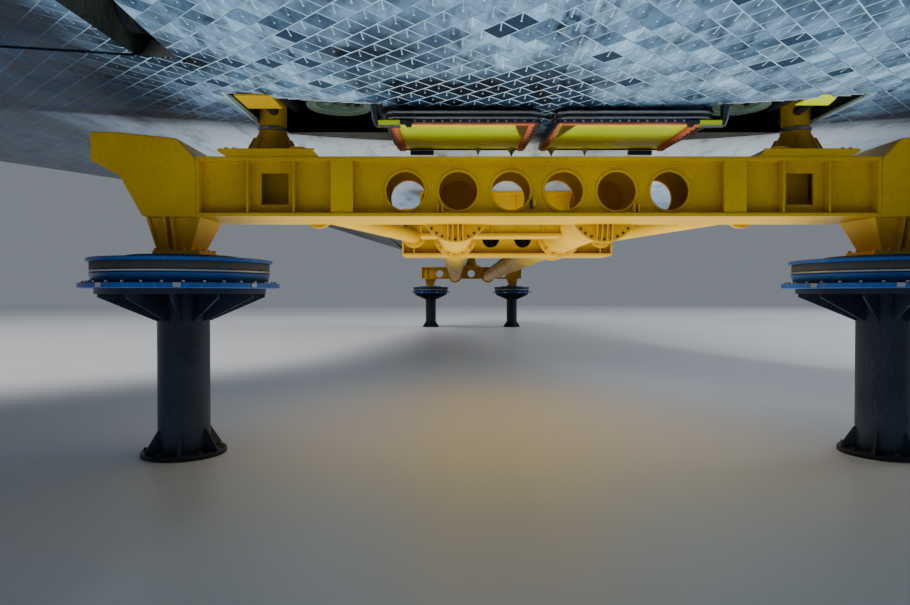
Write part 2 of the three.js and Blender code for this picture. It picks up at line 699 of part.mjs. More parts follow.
// The base leans forwards going up, and stands clear of the body flap below.
const side = (outline, half) => slab(outline.map(([s, w]) => [stationY(s), waterZ(w)]), "x", -half * INCH, half * INCH);
const baseCut = side([[1524, 240], [1524, 302], [1538, 309], [1489, 515], [1480, 540], [1600, 540], [1600, 240]], 130);
const FLAP_HINGE = { station: 1531, water: 288 };
const FLAP_LUGS = [-96, 96];
const flapLugs = FLAP_LUGS.map((side) =>
  bodyBox(1515, FLAP_HINGE.station + 2.5, side - 2, side + 2, FLAP_HINGE.water - 2.5, FLAP_HINGE.water + 2.5),
);
const aftShell = join(
  cut(join(cut(body(AFT), baseCut, ...reliefs), ...collars), ...bays, ...wells),
  ...domes,
  ...thrustEars,
  ...plates,
  ...flapLugs,
  ...wellLugs,
  ...wellLugs.map(mirror),
);
piece("aft_fuselage", aftShell, "white");

// Main engines: powerhead, neck, dome shield and bell in one moving piece.
const SHIELD = [[79, 11], [79, 19], [79, 27], [81, 27]].map(([r, a]) => onSphere(r, a));
const BELL = [
  [0, 9], [27, 9], [27, 38], [15, 54], ...SHIELD, [22, 83],
  [24, 92], [36.5, 115], [43.5, 147], [46.5, 170], [45, 170], [42, 147], [35, 115], [12, 88], [0, 84],
];
for (const engine of ENGINES) {
  const centre = at(engine.station, engine.side, engine.water);
  const solid = join(bell(BELL, centre, axisOf(engine), 1, 16), engineEars(centre, 1));
  piece("main_engine_" + engine.name, solid, "alloy");
  piece("main_gimbal_" + engine.name, cross(centre, 1), "alloy");
}

// Manoeuvring pods on the shoulders, their engines and gimbals.
const POD_COLUMNS = [
  [1311, 66, 470, 5, 5],
  [1328, 70, 473, 17, 15],
  [1355, 75, 477, 28, 26],
  [1400, 82, 481, 37, 36],
  [1450, 87, 485, 41, 42],
  [1500, 88, 487, 42, 43],
  [1524, 88, 487, 39, 40],
]; // station, side, waterline, half width, half height
function podRing([station, side, water, wide, high]) {
  const ring = [];
  for (let i = 0; i < 14; i++) {
    const turn = (2 * Math.PI * i) / 14;
    ring.push(at(station, side + wide * Math.cos(turn), water + high * Math.sin(turn)));
  }
  return ring;
}
const POD_ENGINE = { station: 1512, side: 88, water: 490, pitch: 12, yaw: 5 };
const POD_SCALE = 0.42;
const POD_BELL = [[0, 9], [24, 9], [24, 40], [13, 56], [13, 70], [35, 112], [50, 168], [48.5, 168], [33, 112], [0, 76]];
const podBay = rod(at(1500, 88, 490), at(1540, 88, 490), 21 * INCH, undefined, 16);
const podCentre = at(POD_ENGINE.station, POD_ENGINE.side, POD_ENGINE.water);
const pod = join(
  cut(loft(POD_COLUMNS.map(podRing)), hull, collarOf(ENGINES[0], GAP), podBay),
  fixedEars(podCentre, POD_SCALE, 14 * INCH),
);
piece("pod_right", pod, "white");
piece("pod_left", mirror(pod), "white");
const podEngine = join(
  bell(POD_BELL, podCentre, axisOf(POD_ENGINE), POD_SCALE, 12),
  engineEars(podCentre, POD_SCALE),
);
piece("pod_engine_right", podEngine, "alloy");
piece("pod_engine_left", mirror(podEngine), "alloy");
piece("pod_gimbal_right", cross(podCentre, POD_SCALE), "alloy");
piece("pod_gimbal_left", mirror(cross(podCentre, POD_SCALE)), "alloy");

// Body flap under the engines.
const FLAP_HALF = 126;
const FLAP_RADIUS = 6;
function flapRing(side) {
  const ring = [];
  for (let i = 0; i <= 8; i++) {
    const turn = (Math.PI * i) / 8;
    ring.push([
      FLAP_HINGE.station - FLAP_RADIUS * Math.sin(turn),
      FLAP_HINGE.water - FLAP_RADIUS * Math.cos(turn),
    ]);
  }
  ring.push([1612, 288], [1612, 286.5]);
  return ring.map(([s, w]) => at(s, side, w));
}
const flapSlots = FLAP_LUGS.map((side) => bodyBox(1520, FLAP_HINGE.station + 8, side - 2.3, side + 2.3, 276, 300));
const flapPins = FLAP_LUGS.flatMap((side) => [-1, 1].map((end) =>
  rod(
    at(FLAP_HINGE.station, side + end * (2 + SKIN_GAP), FLAP_HINGE.water),
    at(FLAP_HINGE.station, side + end * 4, FLAP_HINGE.water),
    2 * INCH,
    undefined,
    8,
  ),
));
const flap = join(cut(loft([flapRing(-FLAP_HALF), flapRing(FLAP_HALF)]), ...flapSlots), ...flapPins);
piece("body_flap", flap, "black");

// Fin with its split rudder, which also opens as the air brake.
const FIN_ROOT = 496;
const RUDDER_FOOT = 566;
const RUDDER_TOP = 806;
const FIN_TOP = 816;
const FIN_SPAN = FIN_TOP - 500;
const finLeading = (water) => 1308 + (water - 500) * 0.949;
const finTrailing = (water) => TAIL_STATION - (FIN_TOP - water) * 0.4936;
const rudderHinge = (water) => 1486 + (water - RUDDER_FOOT) * 0.69;
const finHalf = (water) => 13 - (7 * (water - 500)) / FIN_SPAN;
const hingeHalf = (water) => 7 - (3.6 * (water - 500)) / FIN_SPAN;
function finRing(water, end, endHalf) {
  const leading = finLeading(water);
  const half = finHalf(water);
  const chord = rudderHinge(water) - leading;
  const right = [
    [leading, 0],
    [leading + chord * 0.012, half * 0.22],
    [leading + chord * 0.06, half * 0.45],
    [leading + chord * 0.25, half * 0.85],
    [leading + chord * 0.55, half],
    [end, endHalf],
  ];
  const left = right.slice(1).reverse().map(([s, b]) => [s, -b]);
  return [...right, ...left].map(([s, b]) => at(s, b, water));
}
// The fin's fixed parts above and below the rudder.
function finTail(water, endHalf) {
  const front = [rudderHinge(water) - 25, hingeHalf(water) * 0.8];
  const back = [finTrailing(water), endHalf];
  return [front, back, [back[0], -back[1]], [front[0], -front[1]]].map(([s, b]) => at(s, b, water));
}
const finCut = (water) => rudderHinge(water) - (hingeHalf(water) + 0.6) * 1.22;
// Room for the upper engine to swing up under the fin's foot.
const footCut = side([[1478, 470], [1486, 511], [1531, 533], [1582, 565], [1640, 565], [1640, 470]], 20);
const fin = cut(
  join(
    loft([
      finRing(FIN_ROOT, finCut(FIN_ROOT), hingeHalf(FIN_ROOT)),
      finRing(FIN_TOP, finCut(FIN_TOP), hingeHalf(FIN_TOP)),
    ]),
    loft([finTail(RUDDER_TOP + 1.2, 1), finTail(FIN_TOP - 0.3, 0.8)]),
    loft([finTail(FIN_ROOT + 1, 3), finTail(RUDDER_FOOT - 2, 2)]),
  ),
  hull,
  collarOf(ENGINES[0], GAP),
  footCut,
);
piece("fin", fin, "white");

const SHAFT = 2.2;
const SHAFT_LEAN = 1.27; // how far the shaft's slanted ends reach past its axis
const shaftEnd = (water) => at(rudderHinge(water), 0, water);
const shaftTop = RUDDER_TOP + 1.2 - SHAFT_LEAN;
const shaft = rod(shaftEnd(RUDDER_FOOT - 2 + SHAFT_LEAN), shaftEnd(shaftTop), SHAFT * INCH, undefined, 20);
piece("rudder_shaft", shaft, "alloy");

function rudderRing(water) {
  const hinge = rudderHinge(water);
  const radius = hingeHalf(water);
  const tail = finTrailing(water);
  const ring = [];
  for (let i = 0; i <= 4; i++) {
    const turn = radians(90 + 10 * i);
    ring.push([hinge + radius * Math.cos(turn), radius * Math.sin(turn)]);
  }
  ring.push([hinge - 0.5, 0.6], [hinge + 0.5, 0.2], [tail, 0.2], [tail, 1]);
  return ring.map(([s, b]) => at(s, b, water));
}
const bore = rod(shaftEnd(RUDDER_FOOT - 9), shaftEnd(RUDDER_TOP + 9), (SHAFT + 0.03) * INCH, undefined, 20);
const rudder = cut(loft([rudderRing(RUDDER_FOOT), rudderRing(RUDDER_TOP - 1.8)]), bore);
piece("rudder_right", rudder, "white");
piece("rudder_left", mirror(rudder), "white");

// Doors over the umbilical wells, open: turned half a turn inward about the well's inner edge.
const WELL_DOOR = { thick: 3.5, gap: 1.5 };
const wellLeaf = ({ side, water }) => [[side - 3.5, side, water - 1.6, water + 0.3]];
const wellDoor = join(
  bodyBox(
    WELL.front + 0.5,
    WELL.back - 0.5,
    WELL.inner * 2 - WELL.outer + 0.5,
    WELL.inner - 1.4,
    KEEL - WELL_DOOR.gap - WELL_DOOR.thick,
    KEEL - WELL_DOOR.gap,
  ),
  ...knuckles(wellAxis, WELL_KNUCKLES, 0.6, wellLeaf, -1),
);
piece("umbilical_door_right", wellDoor, "primer");
piece("umbilical_door_left", mirror(wellDoor), "primer");

// Gear doors, shut.
const noseDoor = body(FORWARD.slice(1, 5), 0).intersect(
  bodyBox(NOSE_WELL.front + 0.5, NOSE_WELL.back - 0.5, 0.3, NOSE_WELL.half - 1, 250, 291),
);
const noseDoorShell = cut(noseDoor, body(FORWARD.slice(1, 5), -4));
const noseLeaf = ({ side, water }) => [[side - 3, side - 0.1, water - 0.4, water + 2]];
const hungNoseDoor = join(noseDoorShell, ...knuckles(noseAxis, NOSE_KNUCKLES, 0.5, noseLeaf, -1));
piece("nose_gear_door_right", hungNoseDoor, "black");
piece("nose_gear_door_left", mirror(hungNoseDoor), "black");
const wheelDoor = loft(
  [WHEEL_WELL.inner + 0.5, WHEEL_WELL.outer - 1].map((side) =>
    [
      [WHEEL_WELL.front + 0.5, 0],
      [WHEEL_WELL.back - 0.5, 0],
      [WHEEL_WELL.back - 0.5, 4],
      [WHEEL_WELL.front + 0.5, 4],
    ].map(([s, w]) => at(s, side, wingFloor(side) + w)),
  ),
);
const shutLeaf = ({ side, water }) => [[side - 3, side - 0.1, water - 0.4, water + 1.6]];
const hungWheelDoor = join(wheelDoor, ...knuckles(wheelAxis, WHEEL_KNUCKLES, 0.55, shutLeaf, -1));
piece("wheel_door_right", hungWheelDoor, "black");
piece("wheel_door_left", mirror(hungWheelDoor), "black");

// Carrying frame. The aft cross beam has holed webs, recessed between its flanges.
const FLANGE = 32;
const WEB = 25;
const WEB_INSET = 110;
const HOLE_PITCH = 477;
const HOLE_RADIUS = 176;
const HOLE_HEIGHT = 2430;
const holeAt = (x) => [x, HOLE_HEIGHT, HOLE_RADIUS];
const holesAt = [-2.5, -1.5, -0.5, 0.5, 1.5, 2.5].map((n) => holeAt(n * HOLE_PITCH));

// holes are circles [along, height, radius] through the webs; ribs are where plates join the flanges.
function crossBeam(y, half, holes, { bottom = BEAM_BOTTOM, depth = BEAM_DEPTH, inset = WEB_INSET, ribs = [] } = {}) {
  const top = BEAM_TOP;
  const near = y - depth / 2;
  const far = y + depth / 2;
  const outline = [[-half, bottom + 1], [half, bottom + 1], [half, top - 1], [-half, top - 1]];
  const web = (from) => slab(outline, "y", from, from + WEB, holes);
  const plateAt = (x, from, to) => box(x, x + WEB, from, to, bottom + 1, top - 1);
  return join(
    box(-half, half, near, far, top - FLANGE, top),
    box(-half, half, near, far, bottom, bottom + FLANGE),
    web(near + inset),
    web(far - inset - WEB),
    ...[-half, half - WEB].map((x) => plateAt(x, near, far)),
    ...ribs.map((x) => plateAt(x - WEB / 2, near, near + inset + 1)),
    ...ribs.map((x) => plateAt(x - WEB / 2, far - inset - 1, far)),
  );
}
piece("aft_beam", crossBeam(ATTACH_Y, BEAM_HALF, holesAt), "yellow");

// Swept end boxes of the aft beam, each with the leg under it.
const END_OUTLINE = [
  [BEAM_HALF + GAP, 2700], [3210, 2880], [3730, 2935], [END_HALF, 2940],
  [END_HALF, 2690], [3720, 2550], [3520, BEAM_BOTTOM], [BEAM_HALF + GAP, BEAM_BOTTOM],
];
function leg(x, y) {
  const ring = (z, half) => [[-1, -1], [1, -1], [1, 1], [-1, 1]].map(
    ([u, v]) => new THREE.Vector3(x + u * half, y + v * half, z),
  );
  return join(
    loft([ring(ISOLATOR_TOP + 40, 180), ring(BEAM_BOTTOM + 0.5, 290)]),
    box(x - 220, x + 220, y - 220, y + 220, ISOLATOR_TOP + GAP, ISOLATOR_TOP + 42),
  );
}
const endBox = join(
  slab(END_OUTLINE, "y", ATTACH_Y - BEAM_DEPTH / 2, ATTACH_Y + BEAM_DEPTH / 2),
  cut(leg(PEDESTAL_SIDE, ATTACH_Y), box(0, BEAM_HALF + 0.5, -20000, 20000, BEAM_BOTTOM - 0.2, 3000)),
);
piece("aft_beam_end_right", endBox, "yellow");
piece("aft_beam_end_left", mirror(endBox), "yellow");

// Carrying cones under the two aft fittings.
const coneX = ATTACH_SIDE * INCH;
const SADDLE_OUTLINE = [
  [1950, BEAM_TOP + GAP], [2770, BEAM_TOP + GAP], [2850, 2765], [2850, 2790], [2280, 2790], [2200, 2810], [2090, 2810],
];
const cone = join(
  slab(SADDLE_OUTLINE, "y", ATTACH_Y - 345, ATTACH_Y + 345),
  rod(new THREE.Vector3(coneX, ATTACH_Y, BEAM_TOP + 59), new THREE.Vector3(coneX, ATTACH_Y, BEAM_TOP + 280), 225, 130),
  rod(new THREE.Vector3(coneX, ATTACH_Y, BEAM_TOP + 279), new THREE.Vector3(coneX, ATTACH_Y, waterZ(KEEL + WELL.depth) - GAP), 125),
);
piece("carrying_cone_right", cone, "yellow");
piece("carrying_cone_left", mirror(cone), "yellow");

// Pedestals: column with a finned head, and the seismic isolator on it.
function column(x, y) {
  const end = (z) => new THREE.Vector3(x, y, z);
  return join(
    rod(end(0), end(40), 380),
    rod(end(39), end(1260), 232),
    rod(end(1259), end(ISOLATOR_BOTTOM), 232, 745),
  );
}
const ISOLATOR_PROFILE = [
  [0, 0], [870, 0], [870, 95], [790, 95], [790, 268], [835, 268], [835, 300], [0, 300],
];
const upright = (x, y) =>
  turnedUp(ISOLATOR_PROFILE.map(([r, z]) => [r, z === 0 ? GAP : z]), x, y, ISOLATOR_BOTTOM);
function turnedUp(profile, x, y, z) {
  const geometry = new THREE.LatheGeometry(profile.map(([r, d]) => new THREE.Vector2(r, d)), 16);
  geometry.rotateX(Math.PI / 2);
  geometry.translate(x, y, z);
  return toSolidClean(geometry);
}
for (const [name, x, y] of [
  ["aft_right", PEDESTAL_SIDE, ATTACH_Y],
  ["aft_left", -PEDESTAL_SIDE, ATTACH_Y],
  ["front_right", FRONT_PEDESTAL_SIDE, FRONT_Y],
  ["front_left", -FRONT_PEDESTAL_SIDE, FRONT_Y],
]) {
  piece("column_" + name, column(x, y), "column");
  piece("isolator_" + name, upright(x, y), "blue");
}

// Second beam, main tubes, braces and the front beam.
const SECOND_Y = ATTACH_Y + 3500;
const TUBE_SIDE = 740;
const TUBE_Z = 2320;
const TUBE_RADIUS = 240;
const BRACE_SIDE = 1330;
const BRACE_Z = 2320;
const second = crossBeam(SECOND_Y, 1500, [-230, 230].map((x) => [x, 2290, 125]), {
  bottom: 2050,
  ribs: [-BRACE_SIDE, -TUBE_SIDE, TUBE_SIDE, BRACE_SIDE],
});
const tubeStart = ATTACH_Y + BEAM_DEPTH / 2 + GAP;
const frontNear = FRONT_Y - BEAM_DEPTH / 2;
// The disc by which a short tube meets the aft beam is larger and hangs below the beam.
const TUBE_DISC = { radius: 350, z: 2363 };
function mainTube(sign) {
  const ends = [
    [tubeStart, SECOND_Y - BEAM_DEPTH / 2 - GAP, TUBE_DISC.radius, TUBE_DISC.z],
    [SECOND_Y + BEAM_DEPTH / 2 + GAP, frontNear - GAP, 305, TUBE_Z],
  ];
  return ends.map(([from, to, disc, discZ]) => {
    const end = (y, z = TUBE_Z) => new THREE.Vector3(sign * TUBE_SIDE, y, z);
    return join(
      rod(end(from), end(to), TUBE_RADIUS),
      rod(end(from, discZ), end(from + 40, discZ), disc, disc, 20),
      rod(end(to - 40), end(to), 305),
    );
  });
}
piece("second_beam", second, "yellow");
const rightTubes = mainTube(1);
const leftTubes = mainTube(-1);
piece("short_tube_right", rightTubes[0], "yellow");
piece("short_tube_left", leftTubes[0], "yellow");
piece("long_tube_right", rightTubes[1], "yellow");
piece("long_tube_left", leftTubes[1], "yellow");

// Slanted braces between the two aft beams, outside the main tubes.
const braceStart = new THREE.Vector3(2100, tubeStart, BRACE_Z);
const braceEnd = new THREE.Vector3(BRACE_SIDE, SECOND_Y - BEAM_DEPTH / 2 - GAP, BRACE_Z);
const braceFlange = (face, step) => rod(face, face.clone().setY(face.y + step), 165);
const brace = join(
  braceFlange(braceStart, 36),
  rod(braceStart.clone().setY(braceStart.y + 30), braceEnd.clone().setY(braceEnd.y - 30), 95),
  braceFlange(braceEnd, -36),
);
piece("brace_right", brace, "yellow");
piece("brace_left", mirror(brace), "yellow");

// A shallower beam that sits astride the short tubes.
const MIDDLE_Y = ATTACH_Y + 1860;
const seat = (sign) =>
  rod(
    new THREE.Vector3(sign * TUBE_SIDE, MIDDLE_Y - 300, TUBE_Z),
    new THREE.Vector3(sign * TUBE_SIDE, MIDDLE_Y + 300, TUBE_Z),
    TUBE_RADIUS + GAP,
  );
piece("middle_beam", cut(crossBeam(MIDDLE_Y, 1160, [], { depth: 500, inset: 30 }), seat(1), seat(-1)), "yellow");

const frontBeam = join(
  crossBeam(FRONT_Y, 2250, [-1450, 0, 1450].map(holeAt)),
  ...[1, -1].map((sign) => leg(sign * FRONT_PEDESTAL_SIDE, FRONT_Y)),
);
piece("front_beam", frontBeam, "yellow");
const post = join(
  rod(new THREE.Vector3(0, FRONT_Y, BEAM_TOP + GAP), new THREE.Vector3(0, FRONT_Y, BEAM_TOP + 60), 420),
  rod(new THREE.Vector3(0, FRONT_Y, BEAM_TOP + 59), new THREE.Vector3(0, FRONT_Y, waterZ(274) - GAP), 300, 140),
);
piece("front_post", post, "yellow");

export default model;
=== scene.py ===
"""A full-size spaceplane orbiter on its yellow carrying frame, dressed for rendering.

Metres, +X starboard, +Y towards the nose, +Z up. The orbiter is laid out in inches by station (aft of a
datum ahead of the nose), side (out from the centre plane) and waterline (height), as its solids are.
"""
import math

import bmesh
import bpy
from mathutils import Matrix, Vector
from mathutils.geometry import tessellate_polygon


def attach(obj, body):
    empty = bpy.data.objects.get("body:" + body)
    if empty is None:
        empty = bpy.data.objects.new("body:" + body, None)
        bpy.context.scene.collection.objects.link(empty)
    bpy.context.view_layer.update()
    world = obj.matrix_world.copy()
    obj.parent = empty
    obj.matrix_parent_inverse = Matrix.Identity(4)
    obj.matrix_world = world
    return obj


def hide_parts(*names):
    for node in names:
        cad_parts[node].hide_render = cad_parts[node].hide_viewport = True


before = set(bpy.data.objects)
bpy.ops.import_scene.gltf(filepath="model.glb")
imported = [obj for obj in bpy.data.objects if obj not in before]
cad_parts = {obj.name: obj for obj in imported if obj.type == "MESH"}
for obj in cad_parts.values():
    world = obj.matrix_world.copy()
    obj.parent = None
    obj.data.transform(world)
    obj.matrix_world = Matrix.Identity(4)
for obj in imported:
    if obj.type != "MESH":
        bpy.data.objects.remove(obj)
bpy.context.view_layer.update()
ROOT = "airframe_and_stand"

# Layout
INCH = 0.0254
MIDDLE_STATION = 969.0
KEEL = 267.0
BELLY_HEIGHT = 2.98
ATTACH_Y = (MIDDLE_STATION - 1317) * INCH
FRONT_Y = (MIDDLE_STATION - 388) * INCH
UP = Vector((0, 0, 1))
AFT = Vector((0, -1, 0))
SIDES = ((1, "right"), (-1, "left"))


def at(station, side, water):
    """A point of the shared frame, in metres, from a station, a side and a waterline in inches."""
    return Vector((side * INCH, (MIDDLE_STATION - station) * INCH, BELLY_HEIGHT + (water - KEEL) * INCH))


def y_of(station):
    return at(station, 0, 0).y


def z_of(water):
    return at(0, 0, water).z


# Material graph helpers
class Graph:
    """Adds nodes to a node tree, with their inputs given as sockets or plain values."""

    def __init__(self, tree):
        self.tree = tree

    def add(self, kind, inputs=None, **settings):
        made = self.tree.nodes.new("ShaderNode" + kind)
        for name, value in settings.items():
            setattr(made, name, value)
        for key, value in (inputs or {}).items():
            socket = made.inputs[key]
            if isinstance(value, bpy.types.NodeSocket):
                self.tree.links.new(value, socket)
            else:
                socket.default_value = value
        return made

    def math(self, operation, *values):
        return self.add("Math", dict(enumerate(values)), operation=operation).outputs[0]

    def times(self, first, *others):
        product = first
        for value in others:
            product = self.math("MULTIPLY", product, value)
        return product

    def plus(self, first, second):
        return self.math("ADD", first, second)

    def minus(self, first, second):
        return self.math("SUBTRACT", first, second)

    def vector(self, operation, *values):
        return self.add("VectorMath", dict(enumerate(values)), operation=operation).outputs[0]

    def mix(self, amount, first, second):
        return self.add("Mix", {0: amount, 6: first, 7: second}, data_type="RGBA").outputs[2]

    def blend(self, amount, first, second):
        return self.add("Mix", {0: amount, 2: first, 3: second}, data_type="FLOAT").outputs[0]

    def cloud(self, where, scale, detail=4.0, roughness=0.6):
        inputs = {0: where, "Scale": scale, "Detail": detail, "Roughness": roughness}
        return self.add("TexNoise", inputs).outputs[0]

    def ramp(self, value, low, high, bottom=0.0, top=1.0):
        return self.add("MapRange", {0: value, 1: low, 2: high, 3: bottom, 4: top}).outputs[0]

    def split(self, vector):
        return self.add("SeparateXYZ", {0: vector}).outputs

    def join(self, x, y, z):
        return self.add("CombineXYZ", {0: x, 1: y, 2: z}).outputs[0]


def rgb(red, green, blue):
    return (red, green, blue, 1.0)


def new_group(name, inputs, outputs):
    """A shader node group; inputs and outputs are lists of (name, socket kind, default)."""
    tree = bpy.data.node_groups.new(name, "ShaderNodeTree")
    for way, sockets in (("INPUT", inputs), ("OUTPUT", outputs)):
        for socket_name, kind, default in sockets:
            socket = tree.interface.new_socket(socket_name, in_out=way, socket_type="NodeSocket" + kind)
            if default is not None:
                socket.default_value = default
    graph = Graph(tree)
    return graph, tree.nodes.new("NodeGroupInput").outputs, tree.nodes.new("NodeGroupOutput").inputs


TILE_SIZE = 0.152
DOT_PLACE = 0.47  # of the way across a tile
PLACE_SOCKETS = [("Position", "Vector", None), ("Normal", "Vector", None)]


def tile_group():
    """Square tiles laid at a slant over a skin: their joints, shades, filler marks and height."""
    takes = [*PLACE_SOCKETS, ("Size", "Float", TILE_SIZE), ("Joint", "Float", 0.03)]
    masks = [(name, "Float", None) for name in ("Joint", "Shade", "Mark", "Height")]
    graph, given, gives = new_group("heat_tiles", takes, masks)
    x, y, z = graph.split(given["Position"])
    _, ny, nz = graph.split(given["Normal"])
    flat = graph.math("GREATER_THAN", graph.math("ABSOLUTE", nz), 0.55)
    facing = graph.math("GREATER_THAN", graph.math("ABSOLUTE", ny), 0.8)
    side = graph.math("ABSOLUTE", x)
    across = graph.blend(flat, graph.blend(facing, y, x), side)
    onward = graph.blend(flat, z, y)
    scale = graph.math("DIVIDE", math.sqrt(0.5), given["Size"])
    v = graph.times(graph.minus(onward, across), scale)
    row = graph.math("FLOOR", v)
    shift = graph.times(graph.math("MODULO", graph.plus(row, 4000.0), 2.0), 0.5)
    u = graph.plus(graph.times(graph.plus(across, onward), scale), shift)
    fu = graph.math("FRACT", u)
    fv = graph.math("FRACT", v)
    port = graph.math("LESS_THAN", x, 0.0)
    cell = graph.join(graph.math("FLOOR", u), row, port)
    random = graph.add("TexWhiteNoise", {0: cell}, noise_dimensions="3D")
    wander = graph.times(graph.cloud(given["Position"], 9.0, 2.0), 0.03)
    to_edge_u = graph.math("MINIMUM", fu, graph.minus(1.0, fu))
    to_edge_v = graph.math("MINIMUM", fv, graph.minus(1.0, fv))
    edge = graph.plus(graph.math("MINIMUM", to_edge_u, to_edge_v), graph.minus(wander, 0.015))
    joint = graph.ramp(edge, graph.times(given["Joint"], 0.5), given["Joint"], 1.0, 0.0)
    aslant = graph.math("ABSOLUTE", graph.minus(fu, fv))
    onward_in_tile = graph.plus(fu, fv)
    narrow = graph.ramp(aslant, 0.014, 0.04, 1.0, 0.0)
    short = graph.ramp(onward_in_tile, 0.88, 0.96, 1.0, 0.0)
    streak = graph.times(narrow, short, graph.ramp(random.outputs[0], 0.15, 0.9, 0.1, 0.75))
    squares = [graph.math("POWER", graph.minus(f, DOT_PLACE), 2.0) for f in (fu, fv)]
    off_dot = graph.plus(*squares)
    dot = graph.ramp(off_dot, 0.0008, 0.002, 1.0, 0.0)
    graph.tree.links.new(joint, gives["Joint"])
    graph.tree.links.new(random.outputs[0], gives["Shade"])
    graph.tree.links.new(graph.math("MAXIMUM", streak, dot), gives["Mark"])
    height = graph.minus(graph.times(random.outputs[0], 0.25), joint)
    graph.tree.links.new(height, gives["Height"])
    return graph.tree


def wear_group():
    """Broad staining, fine speckle and settled dust over a painted or bare surface."""
    takes = [*PLACE_SOCKETS, ("Scale", "Float", 2.0), ("Dust", "Float", 0.3)]
    masks = [(name, "Float", None) for name in ("Stain", "Speckle", "Dust")]
    graph, given, gives = new_group("surface_wear", takes, masks)
    stain = graph.cloud(given["Position"], given["Scale"], 6.0, 0.65)
    speckle = graph.cloud(graph.vector("MULTIPLY", given["Position"], (1.0, 1.0, 0.35)), 55.0, 5.0, 0.7)
    upward = graph.split(given["Normal"])[2]
    rising = {0: graph.ramp(upward, 0.3, 1.0), 1: given["Dust"]}
    settled = graph.add("Math", rising, operation="MULTIPLY", use_clamp=True).outputs[0]
    graph.tree.links.new(graph.ramp(stain, 0.35, 0.7), gives["Stain"])
    graph.tree.links.new(graph.ramp(speckle, 0.52, 0.75), gives["Speckle"])
    graph.tree.links.new(graph.times(settled, graph.ramp(stain, 0.2, 0.8)), gives["Dust"])
    return graph.tree


TILES = tile_group()
WEAR = wear_group()


def new_material(name, metallic=0.0, **settings):
    """A material with a Principled shader; gives its graph, the shader, position and normal."""
    material = bpy.data.materials.new(name)
    material.use_nodes = True
    graph = Graph(material.node_tree)
    shader = material.node_tree.nodes["Principled BSDF"]
    shader.inputs["Metallic"].default_value = metallic
    for socket, value in settings.items():
        shader.inputs[socket.replace("_", " ")].default_value = value
    coordinates = graph.add("TexCoord").outputs
    return material, graph, shader, coordinates["Object"], coordinates["Normal"]


def fill(graph, tree, values):
    """Adds a node group with its inputs given as sockets or plain values."""
    made = graph.tree.nodes.new("ShaderNodeGroup")
    made.node_tree = tree
    for name, value in values.items():
        if isinstance(value, bpy.types.NodeSocket):
            graph.tree.links.new(value, made.inputs[name])
        else:
            made.inputs[name].default_value = value
    return made.outputs


def finish_shader(graph, shader, color, roughness, height=None, depth=0.002, strength=0.6):
    """Links colour and roughness to a shader, and height by way of a bump."""
    graph.tree.links.new(color, shader.inputs["Base Color"])
    graph.tree.links.new(roughness, shader.inputs["Roughness"])
    if height is not None:
        bump = graph.add("Bump", {"Height": height, "Strength": strength, "Distance": depth})
        graph.tree.links.new(bump.outputs[0], shader.inputs["Normal"])


def tiles_and_wear(graph, place, size, joint, scale, dust):
    """The outputs of the tile and wear groups, at a place of (position, normal)."""
    position, normal = place
    tiles = fill(graph, TILES, {"Position": position, "Normal": normal, "Size": size, "Joint": joint})
    wear = fill(graph, WEAR, {"Position": position, "Normal": normal, "Scale": scale, "Dust": dust})
    return tiles, wear


